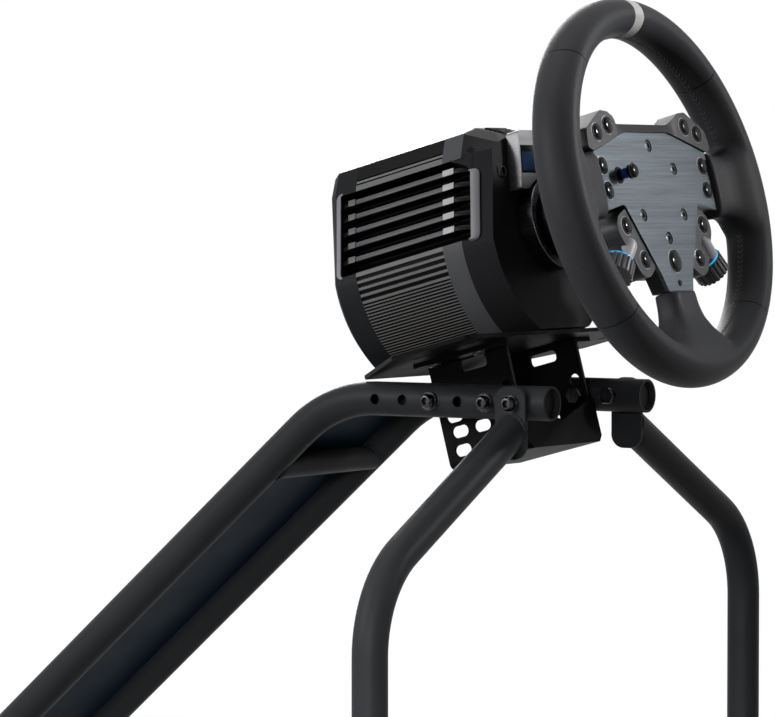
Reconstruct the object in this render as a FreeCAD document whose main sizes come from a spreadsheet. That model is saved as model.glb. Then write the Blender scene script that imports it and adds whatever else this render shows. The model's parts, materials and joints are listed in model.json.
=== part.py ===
import FreeCAD, Part
import math
import os

import Sketcher
from FreeCAD import Placement, Rotation, Vector

# Steering stand of a racing cockpit: bent tube frame, tilted deck with a
# motor base, and a leather rim wheel with its controls. Millimetres, +Z up,
# the driver sits on the -Y side, origin on the floor under the middle.

doc = FreeCAD.newDocument("steering_stand")
sheet = doc.addObject("Spreadsheet::Sheet", "sizes")

dimensions = [
    # tube frame
    ("tube_radius", 12.7),
    ("tube_wall", 1.8),
    ("tube_height", 560.0),
    ("column_side", 70.5),
    ("column_corner", 190.5),
    ("column_angle", 41.2),
    ("column_bend", 100.0),
    ("hole_radius", 4.0),
    ("hole_pitch", 24.0),
    ("hole_first", 26.0),
    ("hole_count", 6),
    ("crossbar_radius", 9.5),
    ("crossbar_along", 77.0),
    ("crossbar_reach", 66.0),
    ("crossbar_sink", 5.0),
    ("panel_thick", 2.0),
    ("panel_lift", 7.0),
    ("panel_start", 15.0),
    ("panel_end", 700.0),
    ("leg_side", 274.0),
    ("leg_angle", 27.7),
    ("leg_bend", 80.0),
    ("tab_drop", 21.8),
    ("tab_thick", 4.0),
    ("tab_width", 26.0),
    ("tab_length", 54.0),
    ("rail_tail", 70.0),
    ("foot_height", 6.0),
    ("foot_width", 30.0),
    ("foot_length", 52.0),
    ("foot_wrap", 8.0),
    ("foot_inset", 34.0),
    ("plug_depth", 14.0),
    ("plug_recess", 4.0),
    ("plug_lip", 2.0),
    ("fit_gap", 0.05),
    # tilt of the wheel axis and place of the wheel centre over the tube ends
    ("axis_tilt", 14.93),
    ("wheel_back", 46.34),
    ("wheel_rise", 153.44),
    # deck plate and folded bracket
    ("sheet_thick", 3.0),
    ("deck_drop", 78.0),
    ("deck_half", 138.0),
    ("deck_near", 102.0),
    ("deck_far", 240.0),
    ("deck_cut_side", 70.0),
    ("deck_cut_back", 72.0),
    ("slot_side", 106.0),
    ("slot_width", 6.0),
    ("bracket_half", 52.0),
    ("bracket_near", 123.0),
    ("bracket_far", 193.0),
    ("bracket_drop", 162.0),
    ("eye_rise", 50.5),
    ("window_far", 42.6),
    ("window_near", 19.0),
    ("slot_high", 38.0),
    ("slot_mid", 26.0),
    ("slot_low", 12.0),
    ("eye_radius", 4.5),
    ("flange_half", 72.0),
    ("bolt_radius", 3.9),
    ("washer_radius", 7.0),
    ("washer_thick", 1.5),
    ("head_radius", 5.6),
    ("head_height", 5.0),
    ("nut_height", 5.5),
    ("spacer_radius", 7.5),
    # motor base
    ("base_radius", 80.0),
    ("base_drop", 12.0),
    ("base_flat", 45.2),
    ("base_top", 83.3),
    ("roof_side", 22.0),
    ("crown_side", 42.0),
    ("crown_top", 78.5),
    ("flank_side", 53.0),
    ("flank_top", 62.0),
    ("flank_low", -6.0),
    ("base_near", 100.0),
    ("base_taper", 25.0),
    ("base_front_seam", 141.0),
    ("base_rear_seam", 220.0),
    ("base_far", 245.0),
    ("base_round", 6.0),
    ("base_inset", 6.0),
    ("front_drop", 13.0),
    ("rear_inset", 3.0),
    ("rear_tuck", 8.0),
    ("rib_pitch", 2.4),
    ("wide_rib_pitch", 5.2),
    ("wide_ribs", 4),
    ("rib_depth", 1.4),
    ("vent_depth", 15.0),
    ("vent_near", 116.0),
    ("vent_far", 234.0),
    ("vent_low", -3.5),
    ("vent_high", 59.5),
    ("louvre_count", 5),
    ("louvre_first", 7.5),
    ("louvre_pitch", 11.0),
    ("louvre_thick", 4.0),
    ("louvre_depth", 9.0),
    ("louvre_step", 131.0),
    ("louvre_sink", 5.0),
    ("bezel_half", 36.0),
    ("bezel_top_half", 23.0),
    ("bezel_clear", 1.0),
    ("bezel_low", 27.0),
    ("bezel_high", 72.0),
    ("bezel_depth", 11.0),
    ("screen_half", 24.0),
    ("screen_low", 39.0),
    ("screen_high", 60.0),
    ("screen_sink", 1.5),
    ("collar_radius", 35.0),
    ("collar_depth", 14.0),
    ("shaft_radius", 15.0),
    ("shaft_gap", 0.3),
    # wheel
    ("rim_radius", 132.6),
    ("rim_radial", 14.35),
    ("rim_axial", 18.2),
    ("plate_face", 2.4),
    ("plate_thick", 3.0),
    ("plate_half", 83.5),
    ("plate_top_half", 31.6),
    ("plate_corner", 14.5),
    ("notch_half", 55.0),
    ("notch_low", 9.2),
    ("waist_half", 23.0),
    ("waist_low", 63.0),
    ("tip_half", 18.2),
    ("tip_low", 75.0),
    ("plate_top", 45.0),
    ("plate_shoulder", 30.0),
    ("spoke_end", 6.6),
    ("spoke_up", 46.0),
    ("spoke_down", 42.0),
    ("foot_flare", 44.0),
    ("spoke_proud", 4.5),
    ("spoke_depth", 21.0),
    ("housing_depth", 26.0),
    ("release_radius", 27.0),
    ("release_back", 84.0),
    ("bar_face", 4.0),
    ("bar_depth", 17.0),
    ("pod_face", 1.0),
    ("pod_depth", 21.0),
    ("pod_round", 13.0),
    ("boss_radius", 7.0),
    ("knob_radius", 13.2),
    ("knob_length", 14.0),
    ("knob_start", 14.0),
    ("knob_slope", 48.0),
    ("knob_sink", 8.5),
    ("knob_flutes", 20),
    ("flute_depth", 1.2),
    ("ring_length", 1.4),
    ("button_radius", 4.8),
    ("big_button_radius", 6.7),
    ("button_gap", 0.3),
    ("button_rise", 2.4),
    ("button_stem", 9.0),
    ("button_room", 2.0),
    ("collar_wall", 1.6),
    ("collar_rise", 0.9),
    ("hat_radius", 2.3),
    ("hat_hole", 4.6),
    ("hat_length", 13.0),
    ("hat_cap_radius", 4.4),
    ("hat_cap_length", 6.0),
    ("hat_ball_radius", 3.2),
]

size = {}
for row, (alias, value) in enumerate(dimensions, start=1):
    sheet.set("A%d" % row, alias)
    sheet.set("B%d" % row, str(value))
    sheet.setAlias("B%d" % row, alias)
    size[alias] = value
doc.recompute()

nodes = []

# Places derived from the driving sizes
rail_z = size["tube_radius"] + size["foot_height"]
slope = math.radians(size["column_angle"])
tilt = math.radians(size["axis_tilt"])
front_y = size["column_corner"] + (size["tube_height"] - rail_z) / math.tan(slope)
rim_section = math.hypot(
    size["rim_radial"] * math.sin(tilt), size["rim_axial"] * math.cos(tilt)
)
rear_y = -size["wheel_back"] - size["rim_radius"] * math.sin(tilt) - rim_section
origin_y = -(front_y + size["tube_radius"] + rear_y) / 2
leg_y = size["hole_first"]
inner_radius = size["tube_radius"] - size["tube_wall"]
bore_radius = size["hole_radius"]
tube_face = size["column_side"] + size["tube_radius"]
tab_face = tube_face + size["tab_thick"]
wheel_centre = Vector(0, origin_y - size["wheel_back"], size["tube_height"] + size["wheel_rise"])
# Wheel frame: x to the driver's right, y up the wheel, z along the axis to the driver
wheel_place = Placement(wheel_centre, Rotation(Vector(1, 0, 0), 90 - size["axis_tilt"]))
frame_place = Placement(Vector(0, origin_y, 0), Rotation())
plate_back = size["plate_face"] - size["plate_thick"]


def new_body(label, place, keep=True):
    body = doc.addObject("PartDesign::Body", label)
    body.Label = label
    body.Placement = place
    if hasattr(body, "AllowCompound"):
        body.AllowCompound = True
    if keep:
        nodes.append(body)
    return body


def plane(body, role):
    return next(item for item in body.Origin.OriginFeatures if item.Role == role)


def add_sketch(body, role, geometry, lift=0.0, turn=None, shift=None):
    sketch = body.newObject("Sketcher::SketchObject", body.Name + "_sketch")
    sketch.AttachmentSupport = (plane(body, role), [""])
    sketch.MapMode = "FlatFace"
    place = Placement(shift or Vector(0, 0, lift), turn or Rotation())
    sketch.AttachmentOffset = place
    sketch.addGeometry(geometry, False)
    return sketch


def bind_radius(sketch, index, expression):
    radius = sketch.Geometry[index].Radius
    number = sketch.addConstraint(Sketcher.Constraint("Radius", index, radius))
    sketch.setExpression("Constraints[%d]" % number, expression)


def pad(body, sketch, length, both=False):
    feature = body.newObject("PartDesign::Pad", body.Name + "_pad")
    feature.Profile = sketch
    if both:
        feature.SideType = "Symmetric"
    feature.setExpression("Length", length)
    doc.recompute()
    return feature


def pocket(body, sketch, length, both=True, back=False):
    before = body.Shape.Volume
    feature = body.newObject("PartDesign::Pocket", body.Name + "_pocket")
    feature.Profile = sketch
    if both:
        feature.SideType = "Symmetric"
    feature.Reversed = back
    feature.setExpression("Length", length)
    doc.recompute()
    if body.Shape.Volume > before - 1e-6:
        raise ValueError("a cut in %s removes nothing" % body.Label)
    return feature


def revolve(body, sketch, axis):
    feature = body.newObject("PartDesign::Revolution", body.Name + "_turn")
    feature.Profile = sketch
    feature.ReferenceAxis = (plane(body, axis), [""])
    feature.Angle = 360
    doc.recompute()
    return feature


def circle(x, y, radius):
    return Part.Circle(Vector(x, y, 0), Vector(0, 0, 1), radius)


def rounded(points):
    # Closed outline of (x, y) or (x, y, corner radius) points
    count = len(points)
    starts = []
    ends = []
    arcs = []
    for i in range(count):
        here = Vector(points[i][0], points[i][1], 0)
        radius = points[i][2] if len(points[i]) > 2 else 0.0
        if radius <= 0:
            starts.append(here)
            ends.append(here)
            arcs.append(None)
            continue
        last = Vector(points[i - 1][0], points[i - 1][1], 0)
        following = Vector(points[(i + 1) % count][0], points[(i + 1) % count][1], 0)
        one = (last - here).normalize()
        two = (following - here).normalize()
        half = one.getAngle(two) / 2
        reach = radius / math.tan(half)
        middle = here + (one + two).normalize() * (radius / math.sin(half))
        starts.append(here + one * reach)
        ends.append(here + two * reach)
        arcs.append(middle + (here - middle).normalize() * radius)
    geometry = []
    for i in range(count):
        if arcs[i] is not None:
            geometry.append(Part.Arc(starts[i], arcs[i], ends[i]))
        after = starts[(i + 1) % count]
        if (after - ends[i]).Length > 1e-6:
            geometry.append(Part.LineSegment(ends[i], after))
    return geometry


def mirrored(points):
    return [(-p[0],) + tuple(p[1:]) for p in points]


def sided(points, side):
    return points if side > 0 else mirrored(points)


def box_outline(x_low, y_low, x_high, y_high, radius=0.0):
    return rounded([
        (x_low, y_low, radius),
        (x_high, y_low, radius),
        (x_high, y_high, radius),
        (x_low, y_high, radius),
    ])


def bent_path(start, corner, end, radius):
    # Line, arc and line through one bend, in sketch coordinates
    first = Vector(start[0], start[1], 0)
    bend = Vector(corner[0], corner[1], 0)
    last = Vector(end[0], end[1], 0)
    one = (first - bend).normalize()
    two = (last - bend).normalize()
    half = one.getAngle(two) / 2
    reach = radius / math.tan(half)
    middle = bend + (one + two).normalize() * (radius / math.sin(half))
    top = middle + (bend - middle).normalize() * radius
    return [
        Part.LineSegment(first, bend + one * reach),
        Part.Arc(bend + one * reach, top, bend + two * reach),
        Part.LineSegment(bend + two * reach, last),
    ]


def tube_pipe(body, path_role, path, end_role, centre):
    spine = add_sketch(body, path_role, path)
    ring = add_sketch(body, end_role, [
        circle(centre[0], centre[1], size["tube_radius"]),
        circle(centre[0], centre[1], inner_radius),
    ], lift=centre[2])
    bind_radius(ring, 0, "sizes.tube_radius")
    bind_radius(ring, 1, "sizes.tube_radius - sizes.tube_wall")
    pipe = body.newObject("PartDesign::AdditivePipe", body.Name + "_pipe")
    pipe.Profile = ring
    pipe.Spine = (spine, ["Edge1", "Edge2", "Edge3"])
    doc.recompute()
    return pipe


def name_of(side, rest):
    return ("right_" if side > 0 else "left_") + rest


# Columns: level along the deck, then down to the front floor tube
cope = size["tube_radius"] + size["fit_gap"]
drop = size["tube_height"] - rail_z
stop_back = 5.0
hole_places = [
    size["hole_first"] + i * size["hole_pitch"] for i in range(int(size["hole_count"]))
]
for side in (-1, 1):
    place = Placement(
        Vector(side * size["column_side"], origin_y, size["tube_height"]), Rotation()
    )
    column = new_body(name_of(side, "column_tube"), place)
    path = bent_path(
        (0, 0),
        (size["column_corner"], 0),
        (front_y - stop_back * math.cos(slope), -drop + stop_back * math.sin(slope)),
        size["column_bend"],
    )
    tube_pipe(column, "YZ_Plane", path, "XZ_Plane", (0, 0, 0))
    cuts = [circle(y, 0, bore_radius) for y in hole_places]
    cuts.append(circle(front_y, -drop, cope))
    hole_sketch = add_sketch(column, "YZ_Plane", cuts)
    for i in range(len(hole_places)):
        bind_radius(hole_sketch, i, "sizes.hole_radius")
    pocket(column, hole_sketch, "4 * sizes.tube_radius")

# Cross bar between the columns, coped to them
along = size["crossbar_along"]
bar_y = size["column_corner"] + along * math.cos(slope) - size["crossbar_sink"] * math.sin(slope)
bar_z = size["tube_height"] - along * math.sin(slope) - size["crossbar_sink"] * math.cos(slope)
bar = doc.addObject("Part::Cylinder", "crossbar_stock")
bar.setExpression("Radius", "sizes.crossbar_radius")
bar.setExpression("Height", "2 * sizes.crossbar_reach")
bar.Placement = Placement(
    Vector(-size["crossbar_reach"], bar_y, bar_z), Rotation(Vector(0, 1, 0), 90)
)
copes = []
for side in (-1, 1):
    tool = doc.addObject("Part::Cylinder", "crossbar_cope")
    tool.setExpression("Radius", "sizes.tube_radius + sizes.fit_gap")
    tool.setExpression("Height", "2 * sizes.crossbar_along")
    tool.Placement = Placement(
        Vector(side * size["column_side"], size["column_corner"], size["tube_height"]),
        Rotation(Vector(1, 0, 0), -90 - size["column_angle"]),
    )
    copes.append(tool)
cope_pair = doc.addObject("Part::MultiFuse", "crossbar_copes")
cope_pair.Shapes = copes
crossbar = doc.addObject("Part::Cut", "column_crossbar")
crossbar.Base = bar
crossbar.Tool = cope_pair
crossbar.Label = "column_crossbar"
crossbar.Placement = frame_place
nodes.append(crossbar)

# Thin dark panel between the sloping columns
panel_reach = size["column_side"] - math.sqrt(
    size["tube_radius"] ** 2 - (size["panel_lift"] - size["panel_thick"]) ** 2
) - size["fit_gap"]
panel = new_body("column_panel", Placement(
    Vector(0, origin_y + size["column_corner"], size["tube_height"]),
    Rotation(Vector(1, 0, 0), -size["column_angle"]),
))
panel_sketch = add_sketch(panel, "XY_Plane", box_outline(
    -panel_reach, size["panel_start"], panel_reach, size["panel_end"], 4.0
), lift=size["panel_lift"] - size["panel_thick"])
pad(panel, panel_sketch, "sizes.panel_thick")

# Legs: splayed from the tabs, then straight down onto the floor rails
reach = size["leg_side"] - tab_face
rise = reach * math.tan(math.radians(size["leg_angle"]))
corner_z = size["tube_height"] - size["tab_drop"] - rise
spare = 16.0
for side in (-1, 1):
    leg = new_body(name_of(side, "leg_tube"), Placement(
        Vector(side * size["leg_side"], origin_y + leg_y, 0), Rotation()
    ))
    spare_rise = spare * math.tan(math.radians(size["leg_angle"]))
    path = bent_path(
        (0, rail_z + 5.0),
        (0, corner_z),
        (-side * (reach + spare), corner_z + rise + spare_rise),
        size["leg_bend"],
    )
    tube_pipe(leg, "XZ_Plane", path, "XY_Plane", (0, 0, rail_z + 5.0))
    inside = -side * reach
    spare_side = 4.5 * size["tube_radius"]
    trim = box_outline(
        min(inside, inside - side * spare_side), corner_z,
        max(inside, inside - side * spare_side), size["tube_height"] + 6 * size["tube_radius"],
    )
    trim.append(circle(0, rail_z, cope))
    pocket(leg, add_sketch(leg, "XZ_Plane", trim), "4 * sizes.tube_radius")

# Tabs that bolt the legs to the column tubes
for side in (-1, 1):
    tab = new_body(name_of(side, "leg_tab"), Placement(
        Vector(side * tube_face, origin_y + leg_y, size["tube_height"]), Rotation()
    ))
    half = size["tab_width"] / 2
    top = 13.0
    outline = rounded([
        (-half, top, half * 0.8),
        (half, top, half * 0.8),
        (half, top - size["tab_length"], half * 0.8),
        (-half, top - size["tab_length"], half * 0.8),
    ])
    outline.append(circle(0, 0, bore_radius))
    tab_sketch = add_sketch(tab, "YZ_Plane", outline, lift=0 if side > 0 else -size["tab_thick"])
    pad(tab, tab_sketch, "sizes.tab_thick")

# Floor rails and the front floor tube
rail_start = leg_y - size["rail_tail"]
for side in (-1, 1):
    rail = new_body(name_of(side, "floor_rail"), frame_place)
    ring = add_sketch(rail, "XZ_Plane", [
        circle(side * size["leg_side"], rail_z, size["tube_radius"]),
        circle(side * size["leg_side"], rail_z, inner_radius),
    ], lift=-front_y + 5.0)
    bind_radius(ring, 0, "sizes.tube_radius")
    bind_radius(ring, 1, "sizes.tube_radius - sizes.tube_wall")
    pad(rail, ring, "%.6f + sizes.rail_tail" % (front_y - 5.0 - leg_y))
    end_cope = add_sketch(rail, "YZ_Plane", [circle(front_y, rail_z, cope)])
    bind_radius(end_cope, 0, "sizes.tube_radius + sizes.fit_gap")
    pocket(rail, end_cope, "3 * sizes.leg_side")

front_half = size["leg_side"] + size["tube_radius"]
front_tube = new_body("front_floor_tube", frame_place)
ring = add_sketch(front_tube, "YZ_Plane", [
    circle(front_y, rail_z, size["tube_radius"]),
    circle(front_y, rail_z, inner_radius),
], lift=-front_half + size["plug_lip"])
bind_radius(ring, 0, "sizes.tube_radius")
bind_radius(ring, 1, "sizes.tube_radius - sizes.tube_wall")
pad(front_tube, ring, "2 * (sizes.leg_side + sizes.tube_radius - sizes.plug_lip)")

# Plastic plugs in the open tube ends
plugs = new_body("tube_end_plugs", frame_place)
plug_radius = inner_radius - size["fit_gap"]
deck_plugs = add_sketch(plugs, "XZ_Plane", [
    circle(side * size["column_side"], size["tube_height"], plug_radius) for side in (-1, 1)
], lift=-size["plug_recess"] - size["plug_depth"])
pad(plugs, deck_plugs, "sizes.plug_depth")
rail_plugs = add_sketch(plugs, "XZ_Plane", [
    circle(side * size["leg_side"], rail_z, plug_radius) for side in (-1, 1)
], lift=-rail_start - size["plug_depth"])
pad(plugs, rail_plugs, "sizes.plug_depth")
rail_lips = add_sketch(plugs, "XZ_Plane", [
    circle(side * size["leg_side"], rail_z, size["tube_radius"]) for side in (-1, 1)
], lift=-rail_start)
pad(plugs, rail_lips, "sizes.plug_lip")
for side in (-1, 1):
    end_x = side * (front_half - size["plug_lip"])
    deep = end_x - size["plug_depth"] if side > 0 else end_x
    stub = add_sketch(plugs, "YZ_Plane", [circle(front_y, rail_z, plug_radius)], lift=deep)
    pad(plugs, stub, "sizes.plug_depth")
    out = end_x if side > 0 else end_x - size["plug_lip"]
    lip = add_sketch(plugs, "YZ_Plane", [circle(front_y, rail_z, size["tube_radius"])], lift=out)
    pad(plugs, lip, "sizes.plug_lip")

# Rubber feet, saddled under the rails
feet = new_body("rubber_feet", frame_place)
foot_rear = rail_start + size["foot_inset"]
foot_front = front_y - size["tube_radius"] - size["foot_inset"]
blocks = []
for side in (-1, 1):
    for foot_y in (foot_rear, foot_front):
        blocks += box_outline(
            side * size["leg_side"] - size["foot_width"] / 2,
            foot_y - size["foot_length"] / 2,
            side * size["leg_side"] + size["foot_width"] / 2,
            foot_y + size["foot_length"] / 2,
            5.0,
        )
pad(feet, add_sketch(feet, "XY_Plane", blocks), "sizes.foot_height + sizes.foot_wrap")
saddle = add_sketch(feet, "XZ_Plane", [
    circle(side * size["leg_side"], rail_z, cope) for side in (-1, 1)
])
pocket(feet, saddle, "%.6f" % (3 * front_y))

# Deck plate under the motor base
deck = new_body("deck_plate", wheel_place)
near = -size["deck_near"]
far = -size["deck_far"]
half = size["deck_half"]
deck_outline = rounded([
    (-half, near, 3),
    (half, near, 3),
    (half, far + size["deck_cut_back"], 6),
    (half - size["deck_cut_side"], far, 6),
    (-half + size["deck_cut_side"], far, 6),
    (-half, far + size["deck_cut_back"], 6),
])
for side in (-1, 1):
    for slot_near, slot_far in ((8, 34), (53, 69)):
        deck_outline += box_outline(
            side * size["slot_side"] - size["slot_width"] / 2, near - slot_far,
            side * size["slot_side"] + size["slot_width"] / 2, near - slot_near,
            size["slot_width"] / 2 - 0.05,
        )
deck_sketch = add_sketch(deck, "XZ_Plane", deck_outline, lift=size["deck_drop"])
pad(deck, deck_sketch, "sizes.sheet_thick")

# Folded bracket between the column tubes
bracket = new_body("tilt_bracket", wheel_place)
thick = size["sheet_thick"]
top = -size["deck_drop"] - thick
low = -size["bracket_drop"]
wall = size["bracket_half"]
fold = rounded([
    (-size["flange_half"], top),
    (-wall + thick, top, 1.0),
    (-wall + thick, low + thick, 2.0),
    (wall - thick, low + thick, 2.0),
    (wall - thick, top, 1.0),
    (size["flange_half"], top),
    (size["flange_half"], top - thick),
    (wall, top - thick, 1.5),
    (wall, low, 4.5),
    (-wall, low, 4.5),
    (-wall, top - thick, 1.5),
    (-size["flange_half"], top - thick),
])
fold_sketch = add_sketch(bracket, "XY_Plane", fold, lift=-size["bracket_far"])
pad(bracket, fold_sketch, "sizes.bracket_far - sizes.bracket_near")
skirt = rounded([
    (-wall, low + 4.5),
    (-wall, low + 34.5, 2),
    (0, low + 19, 3),
    (wall, low + 34.5, 2),
    (wall, low + 4.5),
    (wall - 4.5, low),
    (-wall + 4.5, low),
])
pad(bracket, add_sketch(bracket, "XY_Plane", skirt, lift=-size["bracket_near"]), "sizes.sheet_thick")


def tube_point(y):
    # Wheel-frame (height, axis) of a point on the level tube axis
    ahead = y + size["wheel_back"]
    below = -size["wheel_rise"]
    up = ahead * math.sin(tilt) + below * math.cos(tilt)
    away = ahead * math.cos(tilt) - below * math.sin(tilt)
    return up, -away


bolt_holes = [hole_places[1], hole_places[3]]
openings = []
for y in bolt_holes:
    up, axis = tube_point(y)
    openings.append(circle(up, axis, bore_radius))
window_low = top - thick - 10.0
openings += box_outline(
    window_low, -size["bracket_near"] - size["window_far"],
    top - thick - 1.5, -size["bracket_near"] - size["window_near"], 3.0
)
openings.append(circle(low + size["eye_rise"], -size["bracket_near"] - 8, size["eye_radius"]))
slot_rows = (
    (low + size["slot_high"], 57, 37), (low + size["slot_mid"], 55, 35),
    (low + size["slot_low"], 56, 36),
)
for up, first, second in slot_rows:
    for away in (first, second):
        middle = -size["bracket_near"] - away
        openings += box_outline(up - 4.4, middle - 7.5, up + 4.4, middle + 7.5, 4.3)
pocket(bracket, add_sketch(bracket, "YZ_Plane", openings), "4 * sizes.bracket_half")

# Bolts, spacers and nuts through the column tubes
bolts = new_body("frame_bolts", frame_place)
for side in (-1, 1):
    for y in hole_places[0:2] + [hole_places[3]]:
        outer = tab_face if y == hole_places[0] else tube_face
        inner = tube_face - 2 * size["tube_radius"]
        seat = inner if y == hole_places[0] else size["bracket_half"] - size["sheet_thick"]
        runs = [
            (outer, size["washer_thick"], size["washer_radius"], "sizes.washer_thick"),
            (outer + size["washer_thick"], size["head_height"], size["head_radius"],
             "sizes.head_height"),
            (seat - size["nut_height"], size["nut_height"], size["head_radius"] + 1,
             "sizes.nut_height"),
            (seat, outer - seat, size["bolt_radius"], "%.6f" % (outer - seat)),
        ]
        if y != hole_places[0]:
            room = inner - size["bracket_half"]
            runs.append((size["bracket_half"], room, size["spacer_radius"], "%.6f" % room))
        for start, length, radius, expression in runs:
            lift = start if side > 0 else -start - length
            disc = add_sketch(
                bolts, "YZ_Plane", [circle(y, size["tube_height"], radius)], lift=lift
            )
            pad(bolts, disc, expression)

# Motor base: one outline, inset for the tapered ends
def base_points(inset, tuck, fall=None):
    low = -size["deck_drop"] + inset * 0.15
    radius = size["base_radius"] - tuck
    mid = -size["base_drop"]
    reach = math.sqrt(radius ** 2 - (low - mid) ** 2)
    lift = math.asin((size["flank_low"] - mid) / size["base_radius"])
    side_low = (radius * math.cos(lift), mid + radius * math.sin(lift))
    side_top = (size["flank_side"] - inset, size["flank_top"] - inset * 0.3)
    fall = inset if fall is None else fall
    crown = (size["crown_side"] - inset * 0.8, size["crown_top"] - fall)
    roof = (size["roof_side"] - inset * 0.4, size["base_top"] - fall)
    return low, radius, mid, reach, side_low, side_top, crown, roof


def base_outline(inset, tuck, fall=None):
    low, radius, mid, reach, side_low, side_top, crown, roof = base_points(inset, tuck, fall)
    geometry = []
    corner = math.atan2(low - mid, reach)
    lift = math.atan2(side_low[1] - mid, side_low[0])
    middle = (corner + lift) / 2
    ring = [
        Vector(reach, low, 0),
        Vector(radius * math.cos(middle), mid + radius * math.sin(middle), 0),
        Vector(side_low[0], side_low[1], 0),
    ]
    right = [ring[2], Vector(side_top[0], side_top[1], 0), Vector(crown[0], crown[1], 0),
             Vector(roof[0], roof[1], 0)]

    def flip(point):
        return Vector(-point.x, point.y, 0)

    geometry.append(Part.LineSegment(flip(ring[0]), ring[0]))
    geometry.append(Part.Arc(ring[0], ring[1], ring[2]))
    for one, two in zip(right, right[1:]):
        geometry.append(Part.LineSegment(one, two))
    geometry.append(Part.LineSegment(right[-1], flip(right[-1])))
    for one, two in zip(right, right[1:]):
        geometry.append(Part.LineSegment(flip(two), flip(one)))
    geometry.append(Part.Arc(flip(ring[2]), flip(ring[1]), flip(ring[0])))
    return geometry


def ribbed_outline():
    # The middle of the base: fine axial ribs low down, wide ones under the vents
    low, radius, mid, reach, side_low, side_top, crown, roof = base_points(0.0, 0.0)
    first = math.atan2(low - mid, reach) + 0.06
    last = math.atan2(side_low[1] - mid, side_low[0]) - 0.01
    wide = size["wide_rib_pitch"] / radius
    wide_from = last - wide * int(size["wide_ribs"])
    count = int((wide_from - first) * radius / size["rib_pitch"])
    step = (wide_from - first) / count
    starts = [(first + i * step, step) for i in range(count)]
    starts += [(wide_from + i * wide, wide) for i in range(int(size["wide_ribs"]))]
    root = radius - size["rib_depth"]
    right = [Vector(reach, low, 0)]
    for start, length in starts:
        for share, at in ((0.4, radius), (0.5, root), (0.9, root), (1.0, radius)):
            angle = start + share * length
            right.append(Vector(at * math.cos(angle), mid + at * math.sin(angle), 0))
    right += [Vector(side_low[0], side_low[1], 0), Vector(side_top[0], side_top[1], 0)]
    run = Vector(crown[0], crown[1], 0) - right[-1]
    out = Vector(run.y, -run.x, 0).normalize()
    base = Vector(right[-1])
    for share in (0.11, 0.29):
        start = base + run * share
        right.append(start)
        right.append(start - out * size["rib_depth"])
        right.append(start + run * 0.07 - out * size["rib_depth"])
        right.append(start + run * 0.07)
    right += [Vector(crown[0], crown[1], 0), Vector(roof[0], roof[1], 0)]
    left = [Vector(-p.x, p.y, 0) for p in reversed(right)]
    loop = right + left
    return [Part.LineSegment(loop[i - 1], loop[i]) for i in range(len(loop))]


def vent_outline(side):
    # Recess behind the sloping flank: open outside, flat floor inside
    side_low, side_top = base_points(0.0, 0.0)[4:6]
    run = Vector(side_top[0] - side_low[0], side_top[1] - side_low[1], 0)
    out = Vector(run.y, -run.x, 0).normalize()

    def on_flank(height, depth):
        share = (height - side_low[1]) / run.y
        return Vector(side_low[0], side_low[1], 0) + run * share - out * depth

    corners = [
        on_flank(size["vent_low"], -20), on_flank(size["vent_high"], -20),
        on_flank(size["vent_high"], size["vent_depth"]),
        on_flank(size["vent_low"], size["vent_depth"]),
    ]
    return rounded(sided([(p.x, p.y) for p in corners], side)), on_flank, out


def base_piece(label, outline, far_z, length):
    body = new_body(label, wheel_place)
    pad(body, add_sketch(body, "XY_Plane", outline, lift=far_z), length)
    return body


def loft(body, first, first_z, last, last_z):
    feature = body.newObject("PartDesign::AdditiveLoft", body.Name + "_loft")
    one = add_sketch(body, "XY_Plane", first, lift=first_z)
    two = add_sketch(body, "XY_Plane", last, lift=last_z)
    feature.Profile = one
    feature.Sections = [two]
    feature.Ruled = True
    doc.recompute()
    return feature


def cut_vents(body, start_z, length):
    for side in (-1, 1):
        outline, on_flank, out = vent_outline(side)
        sketch = add_sketch(body, "XY_Plane", outline, lift=start_z)
        pocket(body, sketch, length, both=False)


front_seam = size["base_front_seam"]
rear_seam = size["base_rear_seam"]
motor = base_piece(
    "motor_body", ribbed_outline(), -rear_seam, "sizes.base_rear_seam - sizes.base_front_seam"
)
cut_vents(motor, -front_seam, "sizes.base_rear_seam - sizes.base_front_seam")
front_cap = base_piece(
    "front_cap", base_outline(0.0, 0.0), -front_seam,
    "sizes.base_front_seam - sizes.base_near - sizes.base_taper",
)
loft(
    front_cap, base_outline(0.0, 0.0), -size["base_near"] - size["base_taper"],
    base_outline(size["base_inset"], size["base_inset"], size["front_drop"]), -size["base_near"],
)
cut_vents(front_cap, -size["vent_near"], "sizes.base_front_seam - sizes.vent_near")
rear_cap = base_piece(
    "rear_cap", base_outline(0.0, 0.0), -size["base_far"] + size["base_round"],
    "sizes.base_far - sizes.base_round - sizes.base_rear_seam",
)
loft(
    rear_cap, base_outline(0.0, 0.0), -size["base_far"] + size["base_round"],
    base_outline(size["rear_inset"], size["rear_tuck"]), -size["base_far"],
)
cut_vents(rear_cap, -rear_seam, "sizes.vent_far - sizes.base_rear_seam")

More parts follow.
